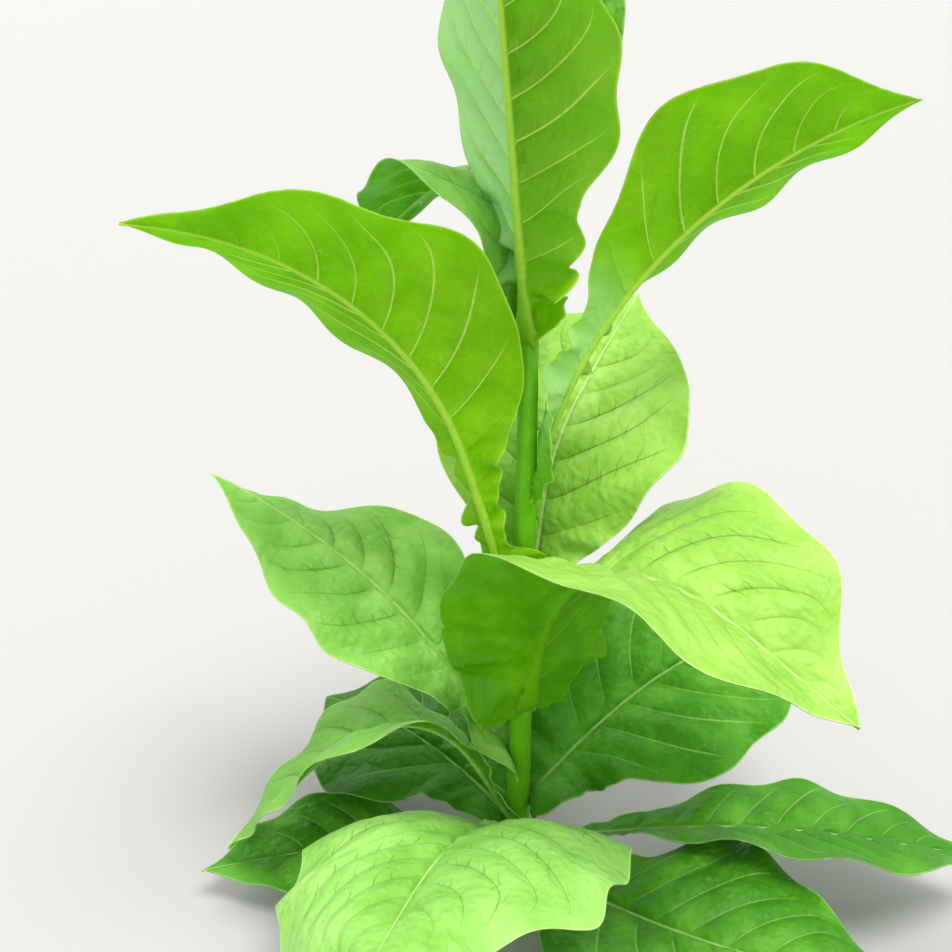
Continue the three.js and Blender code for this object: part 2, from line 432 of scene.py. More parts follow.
@dataclass(frozen=True)
class Ears:
    """The lobes that clasp the stem at a leaf's foot, in millimetres along and across the leaf.

    Attributes:
        minus: How far the lobe of the half at v < 0 reaches beyond the blade.
        plus: How far the lobe of the half at v > 0 reaches.
        full: How far up the leaf they keep their size.
        end: Where they end.
        hang: How steeply they hang down.
        hold: How far up the leaf the blade is held round the stem.
        minus_limit: How far round the stem the half at v < 0 can lie, in radians.
        plus_limit: How far the half at v > 0 can.
        stretch: How much longer the lobe at v < 0 is than full and end say.
    """

    minus: float = 16
    plus: float = 16
    full: float = 14
    end: float = 44
    hang: float = 0.7
    hold: float = 46
    minus_limit: float = 1.5
    plus_limit: float = 1.5
    stretch: float = 1

    def reach(self, run: Array, v: Array | float) -> Array:
        """How far they reach beyond the blade.

        Args:
            run: How far along the leaf each place lies, in millimetres.
            v: How far across the blade, of which only the sign counts.

        Returns:
            The reach at each place, in millimetres.
        """
        size = np.where(np.asarray(v) < 0, self.minus, self.plus)
        longer = np.where(np.asarray(v) < 0, self.stretch, 1.0)
        keeps = fades(run / longer, self.full, self.end - self.full)
        return size * smooth(run / (EAR_OPENING + 0.5 * size)) * keeps


@dataclass
class Leaf:
    """One leaf, by the same sizes as its solid, in millimetres, degrees and shares.

    A place on it is s, the share of its length from the foot, and v, from -1 at one margin over
    0 at the midrib to 1 at the other. Seen from above, v > 0 lies counterclockwise.

    Attributes:
        name: The solid's name.
        height: Where it leaves the stem.
        azimuth: Which way it points, counterclockwise from the right of the photograph.
        length: From foot to point, along the midrib.
        width: At its widest, laid flat.
        rise: How steeply it leaves the stem.
        kind: Its finish.
        arc: How much it bends down evenly along its length.
        droop: How much it bends down round bend_at.
        bend_at: Where the droop lies.
        bend_span: Over how much of the length it droops.
        sweep: How much it turns sideways towards its point.
        roll: How much the blade is rolled about the midrib at the foot.
        twist: How much more it is rolled at the point.
        fold: How steeply the halves rise from the midrib at the foot.
        open: How much that changes towards the point.
        curl: How much each half bends from the midrib to its margin.
        wing: Width of the winged base, as a share.
        opens: Where the blade begins to widen.
        widest: Where it is widest.
        taper: How full it stays towards the point.
        wave: Height of the margin's long waves.
        waves: How many of them there are.
        blade_columns: Columns of the mesh in each half, beside the midrib's.
        ruffle: Depth of the frills at the base.
        ears: The lobes at the foot.
        pucker: Height of the blade between its side veins.
        rib: Thickness of the midrib, as a factor.
        rib_pales_by: How far from the foot the midrib has its full colour underneath.
        channel: Depth of the groove over the midrib, as a share of its radius.
        minus_veins: Strength of the side veins of the half at v < 0.
        tone: Lighter above 0, darker below.
        painted_sheen: How much painted sheen, a pale colour that stands in for the sky's
            reflection, the halves at v < 0 and at v > 0 get.
        painted_sheen_end: Where that ends.
        seed: Chooses the pattern of its unevenness.
    """

    name: str
    height: float
    azimuth: float
    length: float
    width: float
    rise: float
    kind: LeafKind = LeafKind.MIDDLE
    arc: float = 20
    droop: float = 0
    bend_at: float = 0.5
    bend_span: float = 0.4
    sweep: float = 0
    roll: float = 0
    twist: float = 0
    fold: float = 25
    open: float = -15
    curl: float = -10
    wing: float = 0.2
    opens: float = 0.1
    widest: float = 0.52
    taper: float = 1.9
    wave: float = 6
    waves: float = 5
    blade_columns: int = 34
    ruffle: float = 13
    ears: Ears = Ears()
    pucker: float = 4
    rib: float = 1
    rib_pales_by: float = 110
    channel: float = 0.28
    minus_veins: float = 1
    tone: float = 0
    painted_sheen: tuple[float, float] = (0, 0)
    painted_sheen_end: float = 0.34
    seed: int = field(init=False, default=0)

    def __post_init__(self) -> None:
        """Sets the seed of the leaf's own unevenness from its number."""
        self.seed = 11 + 7 * int(self.name[-2:])

    @property
    def veins(self) -> int:
        """How many side veins each half has."""
        return max(FEWEST_VEINS, round(self.length / VEIN_SPACING))

    @property
    def ahead(self) -> Array:
        """The level direction in which the leaf leaves the stem."""
        foot = math.radians(self.azimuth)
        return np.array([math.cos(foot), math.sin(foot), 0])

    def vein_force(self, t: Array, v: Array) -> Array:
        """How strong the nearest side vein is: strong and weak ones take turns, unevenly.

        Args:
            t: Where its row leaves the midrib.
            v: How far across each point lies.

        Returns:
            The strength, up to about 1.
        """
        index = np.rint(t * self.veins).astype(int)
        chance = np.random.default_rng(self.seed).uniform(*VEIN_CHANCE, (2, self.veins + 1))
        strong = np.where((index + (v > 0)) % 2 == 0, STRONG_VEIN, WEAK_VEIN)
        strong = strong + chance[(v > 0).astype(int), np.clip(index, 0, self.veins)]
        return strong * np.where(v < 0, self.minus_veins, 1)

    def frames(self, stem: StemLine) -> Frames:
        """Steps out the midrib from the stem.

        Args:
            stem: What the leaf stands on.

        Returns:
            The midrib's points and directions.
        """
        s = np.arange(CURVE_STEPS + 1) / CURVE_STEPS
        bend = smooth((s - self.bend_at) / self.bend_span + 0.5)
        climb = np.radians(self.rise - self.arc * s - self.droop * bend)
        turn = np.radians(self.azimuth + self.sweep * smooth(s))
        along = ring(turn, np.cos(climb), np.sin(climb))
        side = np.stack([-np.sin(turn), np.cos(turn), 0 * turn], -1)
        up = np.cross(along, side)
        foot = self.ahead * (stem.radius(self.height) - FOOT_INSIDE_STEM)
        steps = along * (self.length + FOOT_INSIDE_STEM) / CURVE_STEPS
        steps[0] = stem.centre(self.height) + foot
        roll = np.radians(self.roll + self.twist * smooth(s))[:, None]
        return Frames(
            s,
            np.cumsum(steps, axis=0),
            side * np.cos(roll) + up * np.sin(roll),
            up * np.cos(roll) - side * np.sin(roll),
        )

    def width_share(self, s: Array) -> Array:
        """Share of the full half width at s: a narrow winged base that opens to a pointed blade."""
        opening = rises(s, self.opens, self.widest - self.opens)
        foot = FOOT_WIDTH_SHARE + (1 - FOOT_WIDTH_SHARE) * smooth(s / FOOT_END)
        base = (self.wing + (1 - self.wing) * opening) * foot
        u = np.clip((s - self.widest) / (1 - self.widest), 0, 1)
        narrows = 1 - POINT_NARROWING * rises(u, POINT_START, 1 - POINT_START)
        return np.where(s < self.widest, base, (1 - u**self.taper) * narrows)

    def half_width(self, s: Array, v: Array | float = -1.0) -> Array:
        """Half the blade's width at s, on the side of v, with the ear there."""
        blade = np.maximum(self.width / 2 * self.width_share(s), TIP_HALF_WIDTH)
        return blade + self.ears.reach(s * self.length, v)

    def rib_radius(self, s: Array) -> Array:
        """The midrib's radius at s, thickest at the foot."""
        size = 0.35 + 0.65 * self.length / FULL_LENGTH
        foot = 1 + RIB_SWELLING * np.exp(-s * self.length / RIB_SWELLING_LENGTH)
        return (RIB_FOOT_RADIUS * (1 - s) ** RIB_TAPER + RIB_END_RADIUS) * size * foot * self.rib

    def rows(self) -> Array:
        """The rows' places along the leaf, closest together at the side veins, ears and frills."""
        count = self.veins
        at_veins = [(k + offset) / count for k in range(count + 1) for offset in ROWS_ROUND_VEIN]
        at_ears = np.arange(0, self.ears.end, EAR_ROW_SPACING) / self.length
        frills_end = self.length * (self.opens + FRILL_ROWS_PAST_OPENING)
        at_frills = np.arange(self.ears.end, frills_end, FRILL_ROW_SPACING) / self.length
        kept = [0.0]
        for place in sorted([*at_veins, *at_ears, *at_frills]):
            if CLOSEST_ROWS < (place - kept[-1]) * self.length and place < LAST_ROW:
                kept.append(place)
        return np.array([*kept, 1.0])

    def columns(self, t: Array) -> Array:
        """Places across the blade for each row, closest together at the midrib."""
        each_side = RIB_COLUMNS + self.blade_columns
        k = np.arange(-each_side, each_side + 1)[None, :]
        near = np.abs(k)
        rib = RIB_COLUMNS_REACH * self.rib_radius(t)[:, None]
        rib_share = np.minimum(rib / self.half_width(t[:, None], k), WIDEST_RIB_SHARE)
        on_rib = rib_share * near / RIB_COLUMNS
        on_blade = rib_share + (1 - rib_share) * (near - RIB_COLUMNS) / self.blade_columns
        return np.clip(np.sign(k) * np.where(near <= RIB_COLUMNS, on_rib, on_blade), -1, 1)

    def along_veins(self, t: Array, v: Array) -> Array:
        """Lets the rows run out along the side veins, arching forward.

        Args:
            t: Each point's row, by its place on the midrib.
            v: How far across the blade it lies.

        Returns:
            Its place along the leaf, which always grows from row to row.
        """
        across = np.abs(v)
        away_from_foot = smooth(t * self.length / min(self.ears.hold, WIDEST_HOLD) - 0.5)
        half = self.half_width(t, v)
        arch = (1 - VEIN_ARCH) * across + VEIN_ARCH * across**2
        forward = VEIN_FORWARD * half / self.length * away_from_foot * arch
        past_rib = smooth(across * half / (1.3 * self.rib_radius(t)))
        stagger = np.where(v > 0, VEIN_STAGGER / self.veins, 0)
        forward = forward + stagger * past_rib * smooth(t / FOOT_END)
        forward[-1] = 0
        least = np.minimum.accumulate((forward + MOST_BACKWARD * t)[::-1], axis=0)[::-1]
        return t + least - MOST_BACKWARD * t

    def blade(self, stem: StemLine, s: Array, v: Array) -> Array:
        """The blade's middle surface.

        Args:
            stem: What the leaf stands on.
            s: How far along the leaf each point lies.
            v: How far across.

        Returns:
            The points, folded, curled, waved and frilled, and laid round the stem at the foot.
        """
        point, side, up = self.frames(stem).at(s)
        across = np.abs(v)
        half = np.where(v < 0, -1.0, 1.0)
        run = s * self.length
        edge = self.half_width(s, v)
        edge = edge * (1 + MARGIN_UNEVEN.at(run, half, self.seed))
        fold = np.radians(self.fold + self.open * smooth(s))
        curl = math.radians(self.curl)
        outward = (np.sin(fold + curl * across) - np.sin(fold)) / curl
        raised = (np.cos(fold) - np.cos(fold + curl * across)) / curl
        phase = 2 * np.pi * self.waves * s + np.where(half > 0, WAVE_LAG, 0)
        full = np.minimum(1, edge / FULL_WAVE_HALF_WIDTH)
        ripple = self.wave * full * across**2 * np.sin(phase)
        ripple = ripple + self.ruffles(s, across, half, edge, 0)
        spread = edge + SCALLOP * self.ruffles(s, across, half, edge, np.pi / 2)
        free = point + side * (half * outward * spread)[..., None]
        free = free + up * (raised * edge + ripple)[..., None]
        free = self.beside_stem(stem, free, half)
        lets_go = EAR_LETS_GO * self.ears.hold
        clasp = fades(run, lets_go, self.ears.hold - lets_go)
        clasp = clasp * smooth(across * edge / (0.8 * self.rib_radius(s)) - 0.6)
        held = self.clasping(stem, point, half * across * edge, ripple)
        return free + (held - free) * clasp[..., None]

    def beside_stem(self, stem: StemLine, free: Array, half: Array) -> Array:
        """Leads each half past the stem on its own side, where it would run through or behind it.

        Args:
            stem: What the leaf stands on.
            free: The blade's points.
            half: The half that each lies in, -1 or 1.

        Returns:
            The points, with those near the stem moved sideways.
        """
        left = np.array([-self.ahead[1], self.ahead[0], 0])
        away = free - stem.centre(free[..., 2])
        least = stem.radius(free[..., 2]) + STEM_CLEARANCE
        missing = np.maximum(least - half * (away @ left), 0) * (free[..., 2] < stem.height)
        share = 1 - smooth(away @ self.ahead / (least + PASSING_START))
        return free + (half * missing * share)[..., None] * left

    def clasping(self, stem: StemLine, point: Array, reach: Array, ripple: Array) -> Array:
        """The same points laid round the stem, as the ears at a leaf's foot lie.

        Args:
            stem: What the ears clasp.
            point: The midrib's points.
            reach: How far across the blade each point lies.
            ripple: How far it stands off its plain place.

        Returns:
            The points round the stem.
        """
        middle = stem.centre(point[..., 2])
        skin = stem.radius(point[..., 2]) + STEM_CLEARANCE
        off = np.maximum(np.linalg.norm((point - middle)[..., :2], axis=-1), skin)
        between = (off + skin) / 2 + 1
        whole = reach / between
        limit = np.where(reach < 0, self.ears.minus_limit, self.ears.plus_limit)
        turn = whole / (1 + np.abs(whole / limit) ** 4) ** 0.25
        past = np.maximum(np.abs(reach) - EAR_FREE, 0)
        out = off + (skin + 1 - off) * smooth(np.abs(turn) / EAR_CLOSES_AT)
        out = out + PAST_LIMIT_SPREAD * np.abs(whole - turn) * between
        out = out + EAR_FLARE * past + np.maximum(EAR_RIPPLE * ripple, -1)
        lift = EAR_RISE * np.abs(reach) - self.ears.hang * past
        return middle + ring(math.radians(self.azimuth) + turn, out, lift)

    def ruffles(self, s: Array, across: Array, half: Array, edge: Array, shift: float) -> Array:
        """Tight frills of the winged base, and the small crinkle that runs all along the margin.

        Args:
            s: How far along the leaf each point lies.
            across: How far from midrib to margin, from 0 to 1.
            half: The half that it lies in, -1 or 1.
            edge: The half's width there.
            shift: Moves the frills along the leaf, in radians.

        Returns:
            How far each point stands off, in millimetres.
        """
        run = s * self.length
        base = fades(s, 0.5 * self.opens + FRILLS_FADE_FROM, FRILLS_FADE_OVER)
        uneven = FOLDS_UNEVEN.at(run, half, self.seed)
        long_fold = 2 * np.pi * run / LONG_FOLD + 2.1 * (half > 0) + 0.7 * across + uneven + shift
        short_fold = 2 * np.pi * run / SHORT_FOLD + 1.1 * (half > 0) - 1.4 * uneven + shift
        frill = LONG_FOLD_SHARE * np.sin(long_fold) + SHORT_FOLD_SHARE * np.sin(short_fold)
        depth = self.ruffle * np.minimum(1, edge / FRILL_FULL_WIDTH) * base
        depth = depth * smooth(run / FRILL_START)
        depth = depth * (0.8 + FRILL_DEPTH_UNEVEN.at(run, half, self.seed))
        crinkle = CRINKLE.at(run, half, self.seed) * across**4 * smooth(run / CRINKLE_START)
        swell = soft_noise(run / SWELL_LENGTH, half * across * edge / SWELL_WIDTH, self.seed + 3)
        swell = swell * SWELL_SIZE * across * smooth(run / SWELL_LENGTH)
        return depth * across**FRILL_STEEPNESS * frill + crinkle + swell

    def relief(self, t: Array, s: Array, v: Array) -> tuple[Array, Array, Array]:
        """Heights of the blade's fine shape along its normal.

        Args:
            t: The row's place along the leaf, where its side vein leaves the midrib.
            s: How far along the leaf each point lies.
            v: How far across.

        Returns:
            What both sides share, what the upper side adds and what the under side adds outward.
        """
        across = np.abs(v)
        edge = self.half_width(s, v)
        rib_radius = self.rib_radius(s)
        room = np.clip(edge / (self.width / 2), 0, 1)
        reach = across * edge / rib_radius
        beside_rib = rises(reach, BESIDE_RIB_FROM, BESIDE_RIB_OVER)
        phase = t * self.veins
        off_vein = np.abs(phase - np.rint(phase)) * VEIN_SLANT * self.length / self.veins
        kept = 1 - LOST_AT_MARGIN * rises(across, VEINS_FADE_FROM, VEINS_FADE_OVER)
        kept = kept * smooth(s * self.length / VEINS_START) * smooth((1 - s) / VEINS_END)
        force = self.vein_force(t, v) * kept
        radius = VEIN_RADIUS * (1 - across) ** VEIN_TAPER + VEIN_END_RADIUS
        radius = radius * (0.4 + 0.6 * room)
        radius = radius * (0.4 + 0.6 * self.length / FULL_LENGTH)
        vein = np.exp(-((off_vein / radius) ** 2)) * force
        crease = np.exp(-((off_vein / (CREASE_WIDTH * radius)) ** 2)) * force * beside_rib
        bell = fades(across, QUILT_STARTS_TO_END, QUILT_ENDS - QUILT_STARTS_TO_END)
        dome = self.puckers(phase, across, v, edge, room) * (beside_rib * bell)
        eased = 0.2 + 0.8 * smooth(s * self.length / RIB_EASES_IN)
        rib = np.sqrt(np.clip(1 - reach**2, 0, 1)) * rib_radius * eased
        channel = np.exp(-((reach / CHANNEL_WIDTH) ** 2)) * self.channel * rib_radius
        upper = -channel - CREASE_DEPTH * crease * radius
        under = rib * RIB_HEIGHT + VEIN_HEIGHT * vein * radius * smooth(reach - 0.6)
        return dome, upper, under

    def puckers(self, phase: Array, across: Array, v: Array, edge: Array, room: Array) -> Array:
        """How the blade swells between its side veins, in one large and several small domes.

        Args:
            phase: Each point's place among the side veins, a whole number on each vein.
            across: How far from midrib to margin, from 0 to 1.
            v: The same, with the half's sign.
            edge: The half's width there.
            room: That width as a share of the widest.

        Returns:
            The height of the domes.
        """
        between = np.abs(np.sin(np.pi * phase))
        rounder = rises(across, 0.25, 0.5)
        uneven = soft_noise(phase + np.where(v > 0, 20, 0), across * 2.5, self.seed + 4)
        large = between ** (0.9 + rounder) * (1 + 0.45 * uneven)
        wander = 0.8 * soft_noise(phase * 2, across * 6, self.seed + 5)
        cell = np.sin(np.pi * (across * edge / CELL_WIDTH + wander + 0.5 * np.floor(phase))) ** 2
        return self.pucker * room * (large + CELL_SHARE * cell * between ** (1.3 + rounder))

    def vein_mask(self, t: Array, s: Array, v: Array) -> Array:
        """How strongly the veins' colour shows: it fades towards the margin and the narrow base.

        Args:
            t: The row's place along the leaf.
            s: How far along the leaf each point lies.
            v: How far across.

        Returns:
            The strength, up to about 1.
        """
        across = np.abs(v)
        edge = self.half_width(s, v)
        wide = smooth(edge / (0.42 * self.width) - 0.35)
        shown = self.vein_force(t, v) * fades(across, VEINS_FADE_FROM, VEINS_FADE_OVER)
        return shown * smooth(across * edge / self.rib_radius(s) - 0.8) * wide

    def point_values(self, sheet: ThinGrid, t: Array, s: Array, v: Array) -> dict[str, Array]:
        """What the leaf's material reads from its mesh.

        Args:
            sheet: The leaf's mesh.
            t: By row and column, where the row leaves the midrib.
            s: How far along the leaf the point lies.
            v: How far across.

        Returns:
            One value for each vertex, by attribute name.
        """
        at = (sheet.row, sheet.column)
        run = s * self.length
        edge = self.half_width(s, v)
        across = v * edge
        reach = np.abs(across) / self.rib_radius(s)
        under_rib = fades(reach, 0.85, 0.3) * (0.3 + 0.7 * smooth(run / self.rib_pales_by))
        upper_rib = fades(reach, 0.55, 0.35) * (0.3 + 0.7 * smooth(run / 60))
        line = self.vein_mask(t, s, v)
        # On the upper side this mask lays the line colour along the vein creases, as painted shade
        # where that colour is dark
        crease = line * rises(np.abs(v), 0.06, 0.16)
        # Painted sheen: a pale colour that stands in for the sky's reflection, on each half from
        # near the foot
        painted_sheen = np.where(v < 0, *self.painted_sheen) * fades(s, self.painted_sheen_end, 0.16) * rises(s, 0.1, 0.12)
        tone = self.tone + 0.5 * soft_noise(s * 3.1, v * 1.7, self.seed + 6)
        return {
            BLADE_COORDS: np.stack([run[at] * MM, across[at] * MM, t[at] * self.veins], -1),
            RIB_MASK: np.where(sheet.is_under, under_rib[at], upper_rib[at]),
            VEIN_FORCE: np.where(sheet.is_under, line[at], crease[at]),
            PAINTED_SHEEN: painted_sheen[at],
            EDGE: ((1 - np.abs(v)) * edge * MM)[at],
            UNDER_MASK: sheet.is_under.astype(float),
            TONE: tone[at],
        }

    def build(self, stem: StemLine) -> bpy.types.Object:
        """Makes the leaf as one closed thin mesh with its veins, puckers and frills.

        Args:
            stem: What the leaf stands on.

        Returns:
            The piece, in metres, with its place in its mesh.
        """
        t = self.rows()
        v = self.columns(t)
        t = np.broadcast_to(t[:, None], v.shape)
        s = self.along_veins(t, v)
        middle = keep_off_stem(self.blade(stem, s, v), stem, STEM_CLEARANCE)
        normal = unit(np.cross(np.gradient(middle, axis=0), np.gradient(middle, axis=1)))
        shared, upper, under = self.relief(t, s, v)
        top = middle + normal * (shared + WALL / 2 + upper)[..., None]
        low = middle + normal * (shared - WALL / 2 - under)[..., None]
        sheet = thin_grid(f"{self.name}_blade", *v.shape)
        at = (sheet.row, sheet.column)
        move_vertices(sheet.piece, np.where(sheet.is_under[:, None], low[at], top[at]) * MM)
        add_point_values(sheet.piece, self.point_values(sheet, t, s, v))
        across_map = 0.01 + 0.48 * ((v[at] + 1) / 2) + 0.5 * sheet.is_under
        lay_out_map(sheet.piece, across_map, 0.01 + 0.98 * s[at])
        shade_smooth(sheet.piece, BLADE_SHARPEST)
        return sheet.piece

    def dress(self, piece: bpy.types.Object, material: bpy.types.Material) -> None:
        """Gives the leaf its material and ties it to the frame."""
        piece.data.materials.append(material)
        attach(piece, ROOT)
        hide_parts(self.name)


def keep_off_stem(points: Array, stem: StemLine, clearance: float) -> Array:
    """Wraps a blade's base round the stem where it would run into it.

    Args:
        points: The blade's points, the first row being its foot.
        stem: The stem.
        clearance: How far from its surface the blade stays.

    Returns:
        The points, none nearer than that, except the foot of the midrib.
    """
    foot_rows = 4
    middle = stem.centre(points[..., 2])
    away = points - middle
    away[..., 2] = 0
    distance = np.linalg.norm(away, axis=-1)
    least = stem.radius(points[..., 2]) + clearance
    rows, columns = (np.arange(count) for count in points.shape[:2])
    on_rib = np.abs(columns - len(columns) // 2) <= RIB_COLUMNS
    is_foot = on_rib[None, :] & (rows[:, None] < foot_rows)
    moves = (distance < least) & (points[..., 2] <= stem.height) & ~is_foot
    return np.where(moves[..., None], middle + unit(away) * least[..., None], points)


YOUNG = {
    "kind": LeafKind.YOUNG,
    "arc": 10,
    "fold": 28,
    "open": -8,
    "wave": 2,
    "waves": 3,
    "blade_columns": 20,
    "ruffle": 4,
    "ears": Ears(5, 5, 10, 30),
    "pucker": 1.8,
}

LEAVES = [
    Leaf("leaf_01", 36, 346, 520, 170, 18, LeafKind.GROUND, droop=10, sweep=12, roll=-10,
         wing=0.15, widest=0.62, ruffle=4, ears=Ears(10, 10)),
    Leaf("leaf_02", 16, 184, 340, 150, 8, LeafKind.GROUND, arc=0, droop=8, sweep=12, roll=-8,
         wing=0.15, ruffle=4, ears=Ears(8, 8)),
    Leaf("leaf_03", 22, 300, 460, 300, 15, LeafKind.GROUND, arc=8, droop=8, sweep=48, fold=18,
         ears=Ears(8, 8)),
    Leaf("leaf_04", 66, 189, 430, 190, 64, droop=92, bend_at=0.42, bend_span=0.5, roll=16,
         fold=26, wing=0.1, widest=0.57, ruffle=9, ears=Ears(14, 26, plus_limit=1.9), tone=-0.5),
    Leaf("leaf_05", 49, 249, 475, 339, 37, arc=-4, droop=28, bend_at=0.495, bend_span=0.7,
         sweep=7, roll=7, twist=9, fold=30, open=-22, curl=-54, wing=0.14, opens=0.035,
         widest=0.42, taper=3.4, ears=Ears(8, 8), tone=0.3),
    # leaf_06 lies under the leaves above: its tone of -0.5 darkens it as painted shade
    Leaf("leaf_06", 56, 138, 320, 290, 26, LeafKind.GROUND, arc=42, roll=-8, fold=20, wing=0.3,
         widest=0.46, tone=-0.5, pucker=6),
    Leaf("leaf_07", 84, 22, 430, 290, 46, LeafKind.GROUND, arc=35, droop=10, roll=25, wing=0.4,
         widest=0.45, pucker=5.5),
    Leaf("leaf_08", 134, 164, 467, 202, 64, arc=42, sweep=2, roll=-60, twist=60, fold=54,
         open=-78, curl=-9, wing=0.25, opens=0.1, widest=0.57, taper=1.5, ruffle=17,
         ears=Ears(20, 30, 30, 80, 0.9, 50, 1.2, 1.9), pucker=5.5, tone=0.15),
    Leaf("leaf_09", 206, 305, 516, 298, 77, LeafKind.SUNNY, arc=3, droop=103, bend_at=0.475,
         bend_span=0.7, sweep=23, roll=-18, twist=29, fold=22, open=7, curl=-11, wing=0.58,
         opens=0.02, widest=0.54, taper=2.2, rib=1.5, pucker=3.2, rib_pales_by=480,
         channel=-0.8, minus_veins=0.25),
    Leaf("leaf_10", 282, 57, 435, 268, 80, LeafKind.SUNNY, arc=10, droop=40, roll=8, pucker=5),
    Leaf("leaf_11", 318, 202, 603, 248, 77, LeafKind.LIT, arc=97, droop=-27, bend_at=0.18,
         roll=36, fold=41, open=-21, wing=0.13, opens=0.2, widest=0.59, taper=1.6, ruffle=16,
         ears=Ears(20, 40, 66, 98, 0.1, 98, 0.7, 2.6, 2.1), pucker=5),
    Leaf("leaf_12", 452, 355, 535, 216, 82, LeafKind.LIT, arc=64, roll=-44, fold=44, open=-22,
         wing=0.26, opens=0.34, widest=0.68, ruffle=17,
         ears=Ears(18, 14, 60, 150, 0.3, 150, 1.0, 1.0), pucker=5, painted_sheen=(0.6, 0.3)),
    Leaf("leaf_13", 568, 136, 385, 190, 84, arc=10, droop=110, bend_at=0.54, wing=0.1,
         widest=0.6),
    Leaf("leaf_14", 612, 248, 480, 200, 76, LeafKind.LIT, arc=0, droop=30, bend_at=0.85,
         roll=-20, fold=26, open=-8, wing=0.13, widest=0.5, ruffle=15,
         ears=Ears(12, 30, 100, 170, 0, 60, 1.2, 1.3), pucker=8, rib=1.25, tone=-0.4,
         painted_sheen=(1, 0.05), painted_sheen_end=0.8),
    Leaf("leaf_15", 665, 47, 380, 140, 80, **YOUNG),
    Leaf("leaf_16", 715, 170, 330, 96, 82, **YOUNG),
    Leaf("leaf_17", 760, 322, 280, 90, 81, **YOUNG),
    Leaf("leaf_18", 800, 100, 240, 72, 82, **YOUNG),
    Leaf("leaf_19", 835, 237, 200, 54, 82, **YOUNG),
    Leaf("leaf_20", 862, 15, 160, 40, 81, **YOUNG),
]


@dataclass
class Stem:
    """The fine stem: lengthwise ridges, a swelling at each leaf and a trace down from it, in mm."""

    line: StemLine
    sides: int = 96
    cuts: tuple[int, int] = (23, 11)
    ridge_count: int = 13
    ridge_depth: float = 0.06
    node_swelling: float = 0.8
    node_reach: float = 9
    trace_depth: float = 0.5
    trace_length: float = 70
    trace_width: float = 0.16
    grain: float = 0.12
    ridge_waver: float = 0.9
    waver_length: float = 120
    second_ridges: int = 7
    second_twist: float = 260

    def split_sides(self, piece: bpy.types.Object, cuts: int) -> None:
        """Cuts every upright edge into equal lengths.

        Args:
            piece: The upright form, in object mode.
            cuts: How many cuts each edge gets.
        """
        only_active(piece)
        bpy.ops.object.mode_set(mode="EDIT")
        bpy.ops.mesh.select_mode(type="EDGE")
        bpy.ops.mesh.select_all(action="DESELECT")
        bpy.ops.object.mode_set(mode="OBJECT")
        places = vertex_places(piece)
        least_rise, most_drift = 1e-4, 2e-5
        for edge in piece.data.edges:
            x, y, z = np.abs(np.subtract(*places[list(edge.vertices)]))
            edge.select = bool(z > least_rise and max(x, y) < most_drift)
        bpy.ops.object.mode_set(mode="EDIT")
        bpy.ops.mesh.subdivide(number_cuts=cuts)
        bpy.ops.object.mode_set(mode="OBJECT")

    def surface(self, angle: Array, z: Array) -> Array:
        """The stem's skin.

        Args:
            angle: Each point's angle round the stem, in radians.
            z: Its height, in millimetres.

        Returns:
            How far it stands from the stem's middle.
        """
        waver = self.ridge_waver * np.sin(z / self.waver_length)
        second = np.sin(self.second_ridges * angle + 1.3 + z / self.second_twist)
        ridges = np.sin(self.ridge_count * angle + waver) + 0.5 * second
        radius = self.line.radius(z) + self.ridge_depth * ridges
        for leaf in LEAVES:
            below = leaf.height - z
            turn = np.cos(angle - math.radians(leaf.azimuth))
            facing = np.exp(-((1 - turn) / self.trace_width))
            swelling = np.exp(-((below / self.node_reach) ** 2))
            trace = np.exp(-np.maximum(below, 0) / self.trace_length) * (below > -2)
            radius = radius + self.node_swelling * swelling * (0.35 + 0.65 * facing)
            radius = radius + self.trace_depth * trace * facing
        return radius + self.grain * soft_noise(angle * 64 / (2 * np.pi), z / 7, 5)

    def build(self) -> bpy.types.Object:
        """Makes the stem as one closed mesh from its flat cut to its top.

        Returns:
            The piece, in metres.
        """
        deselect_all()
        bpy.ops.mesh.primitive_cylinder_add(
            vertices=self.sides, radius=1, depth=1, end_fill_type="TRIFAN"
        )
        piece = bpy.context.object
        piece.name = piece.data.name = "stem_skin"
        for cuts in self.cuts:
            self.split_sides(piece, cuts)
        places = vertex_places(piece)
        z = (places[:, 2] + 0.5) * self.line.height
        angle = np.arctan2(places[:, 1], places[:, 0])
        is_skin = np.hypot(places[:, 0], places[:, 1]) > 0.5
        out = np.where(is_skin, self.surface(angle, z), 0)
        move_vertices(piece, (self.line.centre(z) + ring(angle, out)) * MM)
        round_share = angle / (2 * np.pi) + 0.5
        lay_out_map(piece, 0.02 + 0.96 * round_share, 0.02 + 0.96 * z / self.line.height)
        shade_smooth(piece, STEM_SHARPEST)
        return piece

    def dress(self, piece: bpy.types.Object, material: bpy.types.Material) -> None:
        """Gives the stem its material and ties it to the frame."""
        piece.data.materials.append(material)
        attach(piece, ROOT)
        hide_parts("stem")


